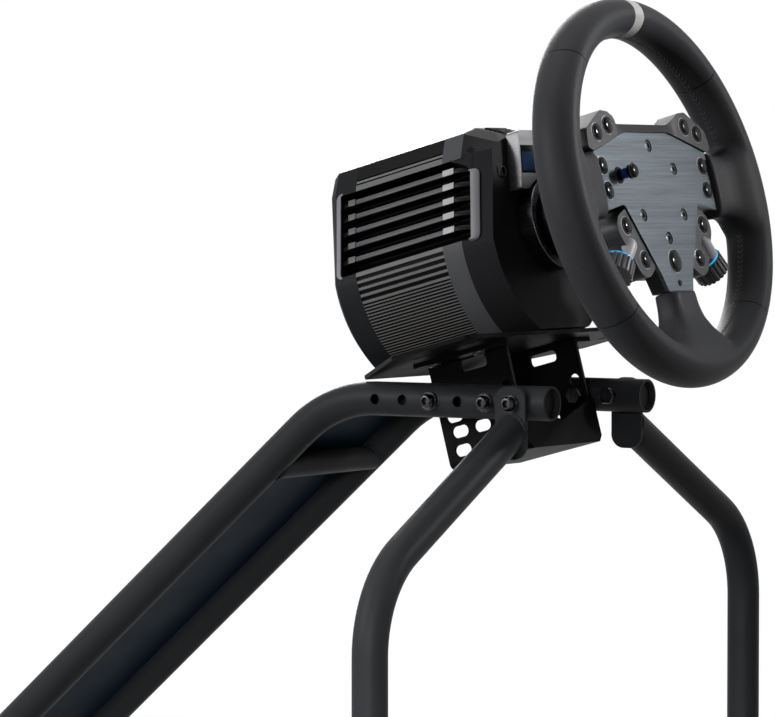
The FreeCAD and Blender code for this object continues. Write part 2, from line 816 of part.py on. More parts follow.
# Louvre bars across the vents: level with the flank, then stepped in at the
# front, both ends seated on the end walls of the recess
for side in (-1, 1):
    outline, on_flank, out = vent_outline(1)
    louvres = new_body(name_of(side, "vent_louvres"), wheel_place)
    outer_bars = []
    inner_bars = []
    for i in range(int(size["louvre_count"])):
        height = size["louvre_first"] + i * size["louvre_pitch"]
        half = size["louvre_thick"] / 2
        for bars, depth in ((outer_bars, 0.3), (inner_bars, size["louvre_sink"])):
            corners = [
                on_flank(height - half, depth), on_flank(height + half, depth),
                on_flank(height + half, size["louvre_depth"]),
                on_flank(height - half, size["louvre_depth"]),
            ]
            bars += rounded(sided([(p.x, p.y, 1.0) for p in corners], side))
    outer_sketch = add_sketch(louvres, "XY_Plane", outer_bars, lift=-size["vent_far"])
    pad(louvres, outer_sketch, "sizes.vent_far - sizes.louvre_step")
    inner_sketch = add_sketch(louvres, "XY_Plane", inner_bars, lift=-size["louvre_step"])
    pad(louvres, inner_sketch, "sizes.louvre_step - sizes.vent_near")

# Display and shaft collar on the front face
bezel = new_body("display_bezel", wheel_place)
bezel_points = [
    (-size["bezel_half"], size["bezel_low"], 1.5),
    (size["bezel_half"], size["bezel_low"], 1.5),
    (size["bezel_top_half"], size["bezel_high"], 3),
    (-size["bezel_top_half"], size["bezel_high"], 3),
]
bezel_sketch = add_sketch(bezel, "XY_Plane", rounded(bezel_points), lift=-size["base_near"])
pad(bezel, bezel_sketch, "sizes.bezel_depth")
collar_room = add_sketch(bezel, "XY_Plane", [
    circle(0, 0, size["collar_radius"] + size["bezel_clear"])
], lift=-size["base_near"])
bind_radius(collar_room, 0, "sizes.collar_radius + sizes.bezel_clear")
pocket(bezel, collar_room, "4 * sizes.bezel_depth")
screen_points = box_outline(
    -size["screen_half"], size["screen_low"], size["screen_half"], size["screen_high"], 2.0
)
bezel_face = -size["base_near"] + size["bezel_depth"]
pocket(
    bezel, add_sketch(bezel, "XY_Plane", screen_points, lift=bezel_face),
    "sizes.screen_sink + 2", both=False,
)
screen = new_body("display_screen", wheel_place)
gap = size["fit_gap"]
screen_fit = box_outline(
    -size["screen_half"] + gap, size["screen_low"] + gap,
    size["screen_half"] - gap, size["screen_high"] - gap, 2.0,
)
screen_sketch = add_sketch(
    screen, "XY_Plane", screen_fit, lift=bezel_face - size["screen_sink"] - 2
)
pad(screen, screen_sketch, "2 mm")

shaft_collar = new_body("shaft_collar", wheel_place)
collar_sketch = add_sketch(shaft_collar, "XY_Plane", [
    circle(0, 0, size["collar_radius"]),
    circle(0, 0, size["shaft_radius"] + size["shaft_gap"]),
], lift=-size["base_near"])
bind_radius(collar_sketch, 0, "sizes.collar_radius")
bind_radius(collar_sketch, 1, "sizes.shaft_radius + sizes.shaft_gap")
pad(shaft_collar, collar_sketch, "sizes.collar_depth")

# Wheel rim with its three wrapped spokes
rim = new_body("wheel_rim", wheel_place)
ring = add_sketch(rim, "XZ_Plane", [Part.Ellipse(
    Vector(size["rim_radius"], size["rim_axial"], 0),
    Vector(size["rim_radius"] + size["rim_radial"], 0, 0),
    Vector(size["rim_radius"], 0, 0),
)])
revolve(rim, ring, "Z_Axis")
spoke_face = size["plate_face"] + size["spoke_proud"]
spoke_back = spoke_face - size["spoke_depth"]
inside_x = size["plate_half"] + size["fit_gap"]
spoke_out = size["rim_radius"] - size["spoke_end"]
for side in (-1, 1):
    neck_x = spoke_out - 26.0
    flank = sided([
        (inside_x, size["plate_shoulder"], 2),
        (neck_x, size["plate_shoulder"] - 3.0, 20),
        (spoke_out, size["spoke_up"]),
        (spoke_out, -size["spoke_down"]),
        (neck_x, -20.0, 20),
        (inside_x, -20.0, 2),
    ], side)
    pad(rim, add_sketch(rim, "XY_Plane", rounded(flank), lift=spoke_back), "sizes.spoke_depth")
foot = [
    (-size["tip_half"], -size["tip_low"] - size["fit_gap"], 2),
    (size["tip_half"], -size["tip_low"] - size["fit_gap"], 2),
    (size["foot_flare"] / 2, -spoke_out + 28.0, 20),
    (size["foot_flare"], -spoke_out + 4.0),
    (-size["foot_flare"], -spoke_out + 4.0),
    (-size["foot_flare"] / 2, -spoke_out + 28.0, 20),
]
pad(rim, add_sketch(rim, "XY_Plane", rounded(foot), lift=spoke_back), "sizes.spoke_depth")

# Hub plate outline shared with the housing behind it
half = size["plate_half"]
hub_right = [
    (size["plate_top_half"], size["plate_top"], 6),
    (half, size["plate_shoulder"], 1.5),
    (half, -size["plate_corner"], 1.5),
    (size["notch_half"], -size["notch_low"], 5),
    (size["waist_half"], -size["waist_low"], 20),
    (size["tip_half"], -size["tip_low"], 1.0),
]


def hub_outline(inset):
    right = [(p[0] - inset, p[1] - inset if p[1] > 0 else p[1] + inset, p[2]) for p in hub_right]
    return rounded(right + mirrored(list(reversed(right))))


side_buttons = [("high", 74.6, 19.6), ("low", 73.9, 1.0)]
bar_buttons = [("inner", 57.4, 49.5), ("outer", 74.4, 44.2)]
pod_buttons = [("high", 57.2, -25.0), ("low", 41.1, -50.6)]
hat_spot = (-53.2, 12.5)
big_spot = (0.0, -52.5)
screw_ring = 35.0
button_hole = size["button_radius"] + size["button_gap"]
big_hole = size["big_button_radius"] + size["button_gap"]
plate_holes = []
for side in (-1, 1):
    for rest, x, y in side_buttons:
        plate_holes.append((side * x, y, button_hole))
plate_holes.append((big_spot[0], big_spot[1], big_hole))
plate_holes.append((hat_spot[0], hat_spot[1], size["hat_hole"]))

hub_plate = new_body("hub_plate", wheel_place)
plate_sketch = add_sketch(
    hub_plate, "XY_Plane",
    hub_outline(0.0) + [circle(x, y, radius) for x, y, radius in plate_holes],
    lift=plate_back,
)
pad(hub_plate, plate_sketch, "sizes.plate_thick")
seats = [
    circle(
        screw_ring * math.cos(math.radians(30 + 60 * i)),
        screw_ring * math.sin(math.radians(30 + 60 * i)), 4.6,
    )
    for i in range(6)
]
pocket(
    hub_plate, add_sketch(hub_plate, "XY_Plane", seats, lift=size["plate_face"]),
    "sizes.plate_thick / 2", both=False,
)

housing = new_body("hub_housing", wheel_place)
front_depth = 12.0
pad(
    housing,
    add_sketch(housing, "XY_Plane", hub_outline(0.5), lift=plate_back - front_depth),
    "%.6f" % front_depth,
)
rear = rounded([
    (-52, 38, 10), (52, 38, 10), (52, -8, 10), (22, -60, 8), (-22, -60, 8), (-52, -8, 10),
])
pad(
    housing,
    add_sketch(housing, "XY_Plane", rear, lift=plate_back - size["housing_depth"]),
    "sizes.housing_depth - %.6f" % front_depth,
)
wells = [circle(x, y, radius) for x, y, radius in plate_holes[:-1]]
wells.append(circle(hat_spot[0], hat_spot[1], size["hat_ball_radius"] + size["button_gap"]))
well_depth = size["button_stem"] + size["button_room"] - size["plate_thick"]
pocket(
    housing, add_sketch(housing, "XY_Plane", wells, lift=plate_back), "%.6f" % well_depth,
    both=False,
)

# Quick release sleeve and the stub that turns in the shaft collar
release = new_body("quick_release", wheel_place)
housing_back = plate_back - size["housing_depth"]
sleeve = add_sketch(
    release, "XY_Plane", [circle(0, 0, size["release_radius"])], lift=-size["release_back"]
)
bind_radius(sleeve, 0, "sizes.release_radius")
pad(release, sleeve, "sizes.release_back + %.6f" % housing_back)
stub = add_sketch(
    release, "XY_Plane", [circle(0, 0, size["shaft_radius"])], lift=-size["base_near"] + 1.0
)
bind_radius(stub, 0, "sizes.shaft_radius")
pad(release, stub, "sizes.base_near - sizes.release_back - 1")

# Upper bar with the two button pods
bar_gap = size["fit_gap"]
bar_right = [
    (31.6, size["plate_top"] + bar_gap, 6),
    (83.9, size["plate_shoulder"] + bar_gap + 0.4),
    (91.0, size["plate_shoulder"] + 3.0, 3),
    (88.0, 47.0, 4),
    (63.0, 61.0, 4),
    (52.0, 60.0, 4),
    (38.0, 52.0, 8),
]
upper_bar = new_body("upper_button_bar", wheel_place)
bar_outline = rounded(bar_right + mirrored(list(reversed(bar_right))))
pad(
    upper_bar,
    add_sketch(upper_bar, "XY_Plane", bar_outline, lift=size["bar_face"] - size["bar_depth"]),
    "sizes.bar_depth",
)
wells = [
    circle(side * x, y, button_hole) for side in (-1, 1) for rest, x, y in bar_buttons
]
pocket(
    upper_bar, add_sketch(upper_bar, "XY_Plane", wells, lift=size["bar_face"]),
    "sizes.button_stem + sizes.button_room", both=False,
)

# Lower pods with their knob bosses
knob_angle = math.radians(size["knob_slope"])
boss_point = (55.7, -40.0)
knob_aim = Vector(math.cos(knob_angle), -math.sin(knob_angle), 0)
pod_top = Vector(pod_buttons[0][1], pod_buttons[0][2], 0)
pod_low = Vector(pod_buttons[1][1], pod_buttons[1][2], 0)
pod_run = (pod_low - pod_top).normalize()
pod_out = Vector(-pod_run.y, pod_run.x, 0)
edge_run = Vector(hub_right[4][0] - hub_right[3][0], hub_right[4][1] - hub_right[3][1], 0)
edge_run.normalize()
edge_out = Vector(-edge_run.y, edge_run.x, 0)


def on_edge(point):
    # Foot of a point on the sloping edge of the hub plate, a fit gap outside it
    base = Vector(hub_right[3][0], hub_right[3][1], 0)
    away = (point - base).dot(edge_out)
    return point - edge_out * (away - size["fit_gap"])


pod_end = size["pod_round"]
inner_top = on_edge(pod_top - pod_run * (pod_end - 4))
inner_low = on_edge(pod_low + pod_run * (pod_end - 1))
outer_top = pod_top - pod_run * pod_end + pod_out * pod_end
outer_low = pod_low + pod_run * pod_end + pod_out * pod_end
pod_points = [
    (inner_top.x, inner_top.y, 1),
    (inner_low.x, inner_low.y, 3),
    (outer_low.x, outer_low.y, pod_end - 1),
    (outer_top.x, outer_top.y, pod_end - 1),
]
for side in (-1, 1):
    pod = new_body(name_of(side, "pod"), wheel_place)
    pad(
        pod,
        add_sketch(
            pod, "XY_Plane", rounded(sided(pod_points, side)),
            lift=size["pod_face"] - size["pod_depth"],
        ),
        "sizes.pod_depth",
    )
    aim = Vector(side * knob_aim.x, knob_aim.y, 0)
    turn = Rotation(Vector(0, 0, 1), aim)
    start = Vector(side * boss_point[0], boss_point[1], -size["knob_sink"])
    boss = add_sketch(
        pod, "XY_Plane", [circle(0, 0, size["boss_radius"])], turn=turn, shift=start
    )
    bind_radius(boss, 0, "sizes.boss_radius")
    boss_end = add_sketch(
        pod, "XY_Plane", [circle(0, 0, size["knob_radius"] - 2.5)], turn=turn,
        shift=start + aim * (size["knob_start"] - size["ring_length"]),
    )
    bind_radius(boss_end, 0, "sizes.knob_radius - 2.5")
    flare = pod.newObject("PartDesign::AdditiveLoft", "pod_flare")
    flare.Profile = boss
    flare.Sections = [boss_end]
    doc.recompute()
    wells = [circle(side * x, y, button_hole) for rest, x, y in pod_buttons]
    pocket(
        pod, add_sketch(pod, "XY_Plane", wells, lift=size["pod_face"]),
        "sizes.button_stem + sizes.button_room", both=False,
    )

# Rings between the bosses and the knobs
rings = new_body("knob_rings", wheel_place)
knobs = []
for side in (-1, 1):
    aim = Vector(side * knob_aim.x, knob_aim.y, 0)
    turn = Rotation(Vector(0, 0, 1), aim)
    start = Vector(side * boss_point[0], boss_point[1], -size["knob_sink"])
    ring_start = start + aim * (size["knob_start"] - size["ring_length"])
    ring = add_sketch(
        rings, "XY_Plane", [circle(0, 0, size["knob_radius"] - 1.0)], turn=turn, shift=ring_start
    )
    pad(rings, ring, "sizes.ring_length - 2 * sizes.button_gap")
    knob = new_body(
        name_of(side, "knob"),
        wheel_place.multiply(Placement(start + aim * size["knob_start"], turn)),
    )
    flutes = []
    count = int(size["knob_flutes"])
    for i in range(count):
        for share, radius in (
            (0.0, size["knob_radius"]), (0.55, size["knob_radius"]),
            (0.68, size["knob_radius"] - size["flute_depth"]),
            (0.87, size["knob_radius"] - size["flute_depth"]),
        ):
            angle = 2 * math.pi * (i + share) / count
            flutes.append((radius * math.cos(angle), radius * math.sin(angle)))
    pad(knob, add_sketch(knob, "XY_Plane", rounded(flutes)), "sizes.knob_length")

# Push buttons with domed tops, and the collars round them
collars = new_body("button_collars", wheel_place)


def push_button(label, x, y, face, radius, radius_name):
    place = wheel_place.multiply(Placement(Vector(x, y, face), Rotation()))
    button = new_body(label, place)
    rise = size["button_rise"]
    edge = rise * 0.45
    profile = [
        Part.LineSegment(Vector(0, -size["button_stem"], 0), Vector(radius, -size["button_stem"], 0)),
        Part.LineSegment(Vector(radius, -size["button_stem"], 0), Vector(radius, edge, 0)),
        Part.Arc(
            Vector(radius, edge, 0),
            Vector(radius * 0.68, edge + (rise - edge) * 0.70, 0),
            Vector(radius * 0.2, rise, 0),
        ),
        Part.LineSegment(Vector(radius * 0.2, rise, 0), Vector(0, rise, 0)),
        Part.LineSegment(Vector(0, rise, 0), Vector(0, -size["button_stem"], 0)),
    ]
    revolve(button, add_sketch(button, "XZ_Plane", profile), "Z_Axis")
    ring = add_sketch(collars, "XY_Plane", [
        circle(x, y, radius + size["button_gap"] + size["collar_wall"]),
        circle(x, y, radius + size["button_gap"]),
    ], lift=face)
    bind_radius(
        ring, 0, "sizes.%s + sizes.button_gap + sizes.collar_wall" % radius_name
    )
    bind_radius(ring, 1, "sizes.%s + sizes.button_gap" % radius_name)
    pad(collars, ring, "sizes.collar_rise")


for side in (-1, 1):
    for rest, x, y in bar_buttons:
        push_button(name_of(side, "bar_button_" + rest), side * x, y, size["bar_face"],
                    size["button_radius"], "button_radius")
    for rest, x, y in side_buttons:
        push_button(name_of(side, "plate_button_" + rest), side * x, y, size["plate_face"],
                    size["button_radius"], "button_radius")
    for rest, x, y in pod_buttons:
        push_button(name_of(side, "pod_button_" + rest), side * x, y, size["pod_face"],
                    size["button_radius"], "button_radius")
push_button("centre_button", big_spot[0], big_spot[1], size["plate_face"],
            size["big_button_radius"], "big_button_radius")

# Thumb lever: a ball in the hub and a capped stem standing on it
hat_place = wheel_place.multiply(
    Placement(Vector(hat_spot[0], hat_spot[1], plate_back - 1.0), Rotation())
)
ball = doc.addObject("Part::Sphere", "hat_ball")
ball.Label = "hat_ball"
ball.setExpression("Radius", "sizes.hat_ball_radius")
ball.Placement = hat_place
nodes.append(ball)
lever = new_body("hat_lever", hat_place)
stem_start = size["hat_ball_radius"] + 0.02
cap_top = size["hat_length"] + size["hat_cap_length"]
stem_points = [
    (0, stem_start), (size["hat_radius"], stem_start), (size["hat_radius"], size["hat_length"]),
    (size["hat_cap_radius"], size["hat_length"] + 1, 0.8),
    (size["hat_cap_radius"], cap_top, 1.5),
    (0, cap_top),
]
revolve(lever, add_sketch(lever, "XZ_Plane", rounded(stem_points)), "Z_Axis")

doc.recompute()
for item in doc.Objects:
    state = [word for word in item.State if word in ("Invalid", "Error")]
    if state:
        raise ValueError("%s failed: %s" % (item.Label, state))
for node in nodes:
    if node.Shape.isNull() or not node.Shape.isValid():
        raise ValueError("%s has no valid shape" % node.Label)

os.makedirs("parts", exist_ok=True)
for node in nodes:
    node.Shape.exportStep(os.path.join("parts", node.Label + ".step"))
print("%d nodes written" % len(nodes))
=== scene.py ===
import json
import math
from functools import partialmethod

import bmesh
import bpy
from mathutils import Matrix, Vector
from mathutils.geometry import convex_hull_2d

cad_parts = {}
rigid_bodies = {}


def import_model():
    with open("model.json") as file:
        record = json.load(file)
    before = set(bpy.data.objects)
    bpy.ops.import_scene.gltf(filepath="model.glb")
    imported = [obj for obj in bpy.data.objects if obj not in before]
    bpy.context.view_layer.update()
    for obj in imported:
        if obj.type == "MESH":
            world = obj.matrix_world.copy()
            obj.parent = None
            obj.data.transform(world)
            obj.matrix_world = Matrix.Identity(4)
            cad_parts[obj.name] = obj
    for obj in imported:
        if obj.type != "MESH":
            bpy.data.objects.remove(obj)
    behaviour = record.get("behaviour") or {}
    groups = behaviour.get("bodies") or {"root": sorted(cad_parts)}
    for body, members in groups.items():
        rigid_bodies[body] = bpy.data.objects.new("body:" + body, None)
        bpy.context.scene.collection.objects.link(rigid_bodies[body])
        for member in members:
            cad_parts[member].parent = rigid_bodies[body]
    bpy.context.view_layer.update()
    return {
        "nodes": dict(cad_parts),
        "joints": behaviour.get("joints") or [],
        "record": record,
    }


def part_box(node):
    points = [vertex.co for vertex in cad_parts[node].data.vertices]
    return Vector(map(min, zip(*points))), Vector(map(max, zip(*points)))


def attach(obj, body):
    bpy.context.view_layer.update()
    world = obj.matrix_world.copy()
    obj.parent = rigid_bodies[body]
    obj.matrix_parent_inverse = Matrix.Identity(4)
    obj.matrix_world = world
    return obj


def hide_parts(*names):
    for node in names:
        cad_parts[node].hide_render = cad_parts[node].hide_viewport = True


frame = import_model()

scene = bpy.context.scene
record = frame["record"]
bodyOf = {node: body for body, nodes in record["behaviour"]["bodies"].items() for node in nodes}
mm = 0.001
sides = ((-1, "left"), (1, "right"))

# the wheel's own frame: x right, y up the wheel, z along the axis to the driver
wheelTilt = 14.93
turnJoint = next(j for j in frame["joints"] if j["name"] == "wheel_turn")
wheelCentre = Vector(turnJoint["pos_m"])
wheelTurn = math.radians(90 - wheelTilt)
wheelFrame = Matrix.Translation(wheelCentre) @ Matrix.Rotation(wheelTurn, 4, "X")
print("frame loaded:", len(frame["nodes"]), "nodes")


# an output socket of a node tree, with the operators that join it to others
class Wire:
    def __init__(self, tree, socket):
        self.tree = tree
        self.socket = socket

    def maths(self, operation, other=0.0, flip=False):
        made = self.tree.nodes.new("ShaderNodeMath")
        made.operation = operation
        pair = (other, self) if flip else (self, other)
        for slot, value in zip(made.inputs, pair):
            plug(self.tree, slot, value)
        return Wire(self.tree, made.outputs[0])

    __add__ = partialmethod(maths, "ADD")
    __sub__ = partialmethod(maths, "SUBTRACT")
    __rsub__ = partialmethod(maths, "SUBTRACT", flip=True)
    __mul__ = partialmethod(maths, "MULTIPLY")
    __rtruediv__ = partialmethod(maths, "DIVIDE", flip=True)
    __abs__ = partialmethod(maths, "ABSOLUTE")


def plug(tree, slot, value):
    if isinstance(value, Wire):
        tree.links.new(value.socket, slot)
    else:
        slot.default_value = value


class NodeTree:
    def __init__(self, tree):
        self.tree = tree

    def node(self, kind, settings=None, values=None, out=0):
        made = self.tree.nodes.new(kind)
        for key, value in (settings or {}).items():
            setattr(made, key, value)
        for key, value in (values or {}).items():
            plug(self.tree, made.inputs[key], value)
        return Wire(self.tree, made.outputs[out])

    def seenRays(self):
        # 1 for what the camera sees straight, in a reflection or through glass
        path = self.tree.nodes.new("ShaderNodeLightPath")
        camera, glossy, through = (Wire(self.tree, path.outputs["Is %s Ray" % word])
                                   for word in ("Camera", "Glossy", "Transmission"))
        return camera + glossy + through


class Finish(NodeTree):
    def __init__(self, name, **fixed):
        self.material = bpy.data.materials.new(name)
        self.material.use_nodes = True
        super().__init__(self.material.node_tree)
        self.shader = self.tree.nodes["Principled BSDF"]
        for key, value in fixed.items():
            self.shader.inputs[key.replace("_", " ")].default_value = value

    def coords(self, wheel=False, scale=(1, 1, 1)):
        place = self.node("ShaderNodeTexCoord", out="Object")
        if wheel:
            place = self.node("ShaderNodeMapping", {"vector_type": "TEXTURE"}, {
                "Vector": place, "Location": wheelCentre, "Rotation": (wheelTurn, 0, 0)})
        if scale != (1, 1, 1):
            place = self.node("ShaderNodeMapping", None, {"Vector": place, "Scale": scale})
        return place

    def noise(self, place, scale, detail=3.0, roughness=0.5):
        return self.node("ShaderNodeTexNoise", None, {
            "Vector": place, "Scale": scale, "Detail": detail, "Roughness": roughness})

    def spread(self, value, low, high, toLow, toHigh):
        return self.node("ShaderNodeMapRange", None, {
            0: value, 1: low, 2: high, 3: toLow, 4: toHigh})

    def mix(self, share, one, two):
        return self.node("ShaderNodeMix", {"data_type": "RGBA"}, {0: share, 6: one, 7: two}, out=2)

    def axes(self, place):
        split = self.node("ShaderNodeSeparateXYZ", None, {0: place})
        return [Wire(self.tree, out) for out in split.socket.node.outputs]

    def colour(self, value):
        plug(self.tree, self.shader.inputs["Base Color"], value)

    def rough(self, value):
        plug(self.tree, self.shader.inputs["Roughness"], value)

    def bump(self, height, strength, depth):
        normal = self.node("ShaderNodeBump", None, {
            "Height": height, "Strength": strength, "Distance": depth})
        plug(self.tree, self.shader.inputs["Normal"], normal)


def rgb(r, g, b):
    return (r, g, b, 1.0)


def tones(colour, shift):
    return rgb(*(c * (1 - shift) for c in colour)), rgb(*(c * (1 + shift) for c in colour))


def grainedPlastic(name, colour, rough, gloss, grain=3000, depth=0.03, shift=0.25, paintedShade=None):
    # moulded or powder coated skin: fine pebble, slow drift in tone and gloss;
    # faces marked deep take a dark colour: painted shade in hollows, vents and grooves
    made = Finish(name, Specular_IOR_Level=gloss)
    place = made.coords()
    pebble = made.noise(place, grain, 2.0)
    drift = made.noise(place, 22, 3.0)
    tone = made.mix(drift * 0.7 + pebble * 0.3, *tones(colour, shift))
    if paintedShade is not None:
        # painted shade: the deep attribute darkens marked faces towards the shade colour
        deep = made.node("ShaderNodeAttribute", {"attribute_name": "deep"}, out="Fac")
        tone = made.mix(deep, tone, rgb(paintedShade, paintedShade, paintedShade))
    made.colour(tone)
    made.rough(made.spread(drift + pebble * 0.4, 0.4, 1.0, rough - 0.05, rough + 0.07))
    made.bump(pebble, 0.35, depth * mm)
    return made.material


def brushedMetal(name, colour, rough, along, wheel=True, shift=0.18):
    # fine straight grain along one axis
    made = Finish(name, Metallic=1.0)
    stretch = tuple(30 if i == along else 2600 for i in range(3))
    streak = made.noise(made.coords(wheel, stretch), 1.0, 2.0, 0.6)
    broad = made.noise(made.coords(wheel, tuple(s * 0.18 for s in stretch)), 1.0, 1.0)
    tone = streak * 0.6 + broad * 0.4
    made.colour(made.mix(made.spread(tone, 0.3, 0.7, 0.0, 1.0), *tones(colour, shift)))
    made.rough(made.spread(tone, 0.3, 0.7, rough - 0.07, rough + 0.08))
    made.bump(streak, 0.12, 0.03 * mm)
    return made.material


def glossSkin(name, colour, rough, gloss):
    # polished moulded skin with faint smudges
    made = Finish(name, Specular_IOR_Level=gloss)
    smear = made.noise(made.coords(), 140, 4.0, 0.6)
    light = tuple(c * 1.5 + 0.0005 for c in colour)
    made.colour(made.mix(smear, rgb(*colour), rgb(*light)))
    made.rough(made.spread(smear, 0.35, 0.7, rough, rough + 0.08))
    made.bump(smear, 0.02, 0.1 * mm)
    return made.material


def caseFinish(name, colour, rough, gloss, grain=3000, depth=0.03):
    # skins of the motor base, with near-black painted shade where they are marked deep
    return grainedPlastic(name, colour, rough, gloss, grain, depth, 0.2, paintedShade=0.0012)


tubePaint = grainedPlastic("tubePaint", (0.0158, 0.0164, 0.0178), 0.44, 0.04, 1100, 0.13)
sheetPaint = grainedPlastic("sheetPaint", (0.0031, 0.0031, 0.0036), 0.46, 0.02, 2400, 0.05)
panelPaint = grainedPlastic("panelPaint", (0.0035, 0.0090, 0.0160), 0.50, 0.04, 1800, 0.04)
caseSkin = caseFinish("caseSkin", (0.049, 0.0496, 0.0525), 0.46, 0.05, depth=0.06)
# a darker copy of the case plastic for the rear cap: painted shade
rearSkin = caseFinish("rearSkin", (0.0086, 0.0093, 0.0105), 0.46, 0.04, depth=0.06)
# a darker copy of the case plastic for the nose, its corner slips and roof ridges: painted shade
noseSkin = caseFinish("noseSkin", (0.0118, 0.0118, 0.0129), 0.42, 0.025, depth=0.06)
ribSkin = caseFinish("ribSkin", (0.104, 0.103, 0.102), 0.42, 0.03, 3200)
louvreSkin = caseFinish("louvreSkin", (0.056, 0.056, 0.059), 0.36, 0.10)
trimSkin = caseFinish("trimSkin", (0.27, 0.27, 0.28), 0.38, 0.12)
stripSkin = caseFinish("stripSkin", (0.145, 0.145, 0.153), 0.40, 0.10)
podSkin = grainedPlastic("podSkin", (0.030, 0.030, 0.032), 0.42, 0.10, depth=0.05, shift=0.12)
bossSkin = grainedPlastic("bossSkin", (0.24, 0.24, 0.247), 0.40, 0.2, shift=0.10)
footRubber = grainedPlastic("footRubber", (0.014, 0.014, 0.014), 0.75, 0.2, 1400, 0.1)
plugSkin = grainedPlastic("plugSkin", (0.0040, 0.0040, 0.0042), 0.55, 0.06, 2000, 0.05)
knobSkin = grainedPlastic("knobSkin", (0.040, 0.040, 0.042), 0.36, 0.2, 2600)
housingSkin = grainedPlastic("housingSkin", (0.0060, 0.0060, 0.0066), 0.42, 0.08, depth=0.05)
threadSkin = grainedPlastic("threadSkin", (0.010, 0.010, 0.011), 0.6, 0.5, 5000, 0.08)
platePolish = brushedMetal("platePolish", (0.030, 0.0356, 0.0405), 0.40, 0, shift=0.75)
bezelPolish = brushedMetal("bezelPolish", (0.080, 0.080, 0.084), 0.36, 0, shift=0.35)
darkSteel = brushedMetal("darkSteel", (0.032, 0.0315, 0.0325), 0.24, 2, False)
screwSteel = brushedMetal("screwSteel", (0.017, 0.0175, 0.019), 0.30, 0)
ringSteel = brushedMetal("ringSteel", (0.21, 0.213, 0.225), 0.36, 2)
sleeveMetal = brushedMetal("sleeveMetal", (0.045, 0.045, 0.048), 0.24, 2)
buttonGloss = glossSkin("buttonGloss", (0.0030, 0.0030, 0.0033), 0.09, 0.09)
collarGloss = glossSkin("collarGloss", (0.0050, 0.0050, 0.0055), 0.20, 0.10)
leverBlue = glossSkin("leverBlue", (0.004, 0.026, 0.20), 0.12, 0.4)


def ringGlow():
    # lit ring under each knob
    made = Finish("ringGlow", Roughness=0.25, Emission_Strength=0.55)
    drift = made.noise(made.coords(True), 90, 2.0)
    glow = made.mix(drift, rgb(0.01, 0.26, 0.62), rgb(0.05, 0.44, 0.85))
    made.colour(glow)
    plug(made.tree, made.shader.inputs["Emission Color"], glow)
    return made.material


# display glass in the wheel's frame: a panel that narrows upwards, lit inside a black border
glass = {
    "low": 39.0 * mm, "high": 60.5 * mm, "halfLow": 31.2 * mm, "halfHigh": 25.2 * mm,
    "face": -88.6 * mm, "thick": 3.6 * mm, "edge": 0.3 * mm,
    "border": 1.3 * mm, "lit": (40.2 * mm, 55.6 * mm), "soft": 0.5 * mm,
}


def screenGlass():
    # black glass with a faint blue field
    made = Finish("screenGlass", Coat_Weight=0.12, Coat_Roughness=0.03, Specular_IOR_Level=0.12)
    place = made.coords(True)
    x, y = made.axes(place)[:2]
    lean = (glass["halfLow"] - glass["halfHigh"]) / (glass["high"] - glass["low"])
    inset = glass["halfLow"] - abs(x) - (y - glass["low"]) * lean
    soft, (low, high) = glass["soft"], glass["lit"]
    field = made.spread(inset, glass["border"], glass["border"] + soft, 0.0, 1.0)
    field = field * made.spread(y, low, low + soft, 0.0, 1.0)
    field = field * made.spread(y, high - soft, high, 1.0, 0.0)
    drift = made.noise(place, 40, 2.0)
    blue = made.mix(drift, rgb(0.004, 0.014, 0.030), rgb(0.008, 0.024, 0.050))
    made.colour(made.mix(field, rgb(0.0010, 0.0010, 0.0013), blue))
    made.rough(made.spread(drift, 0.3, 0.7, 0.06, 0.12))
    return made.material


# leather of the rim: pebbled grain, cross seams and the pale mark at the top
leather = {
    "grain": 760.0, "colour": (0.0255, 0.0258, 0.0277),
    "seams": (42.0, 134.5, 222.0, 314.0), "seamHalf": 0.9 * mm, "seamFrom": 50 * mm,
    "mark": (0.38, 0.38, 0.377), "markHalf": 6.2 * mm, "markShift": 4.0 * mm, "markFrom": 90 * mm,
    "step": 10 * mm, "pebbleHigh": 0.22 * mm,
}


def rimLeather():
    made = Finish("rimLeather", Specular_IOR_Level=0.045)
    place = made.coords(True)
    x, y = made.axes(place)[:2]
    cells = made.node("ShaderNodeTexVoronoi", {"feature": "SMOOTH_F1"}, {
        "Vector": place, "Scale": leather["grain"], "Smoothness": 0.35}, out="Distance")
    wrinkle = made.noise(place, 420, 4.0, 0.6)
    drift = made.noise(place, 18, 3.0)

    def beyond(value, start):
        return made.spread(value, start, start + leather["step"], 0.0, 1.0)

    lines = []
    half = leather["seamHalf"]
    for angle in leather["seams"]:
        # distance from the half plane at this clock angle
        cos, sin = math.cos(math.radians(angle)), math.sin(math.radians(angle))
        across = abs(y * cos - x * sin)
        line = made.spread(across, half * 0.3, half, 1.0, 0.0)
        lines.append(line * beyond(x * cos + y * sin, leather["seamFrom"]))
    seams = lines[0] + lines[1] + lines[2] + lines[3]
    top = beyond(y, leather["markFrom"])
    half = leather["markHalf"]
    offMark = abs(x - leather["markShift"])
    mark = made.spread(offMark, half - 0.3 * mm, half, 1.0, 0.0) * top
    edge = made.spread(abs(offMark - half), 0.2 * mm, 0.9 * mm, 1.0, 0.0) * top
    dark, light = (rgb(*(c * share for c in leather["colour"])) for share in (0.75, 1.35))
    hide = made.mix(drift * 0.6 + cells * 0.4, dark, light)
    hide = made.mix(seams, hide, rgb(0.003, 0.003, 0.003))
    made.colour(made.mix(mark, hide, rgb(*leather["mark"])))
    made.rough(made.spread(cells + drift * 0.5, 0.3, 1.1, 0.40, 0.56))
    height = cells * 0.5 + wrinkle * 0.35 - seams * 2.5 - edge * 2.0
    made.bump(height, 0.55, leather["pebbleHigh"])
    return made.material


rimHide = rimLeather()
ringLight = ringGlow()
screenFace = screenGlass()
print("finishes ready")


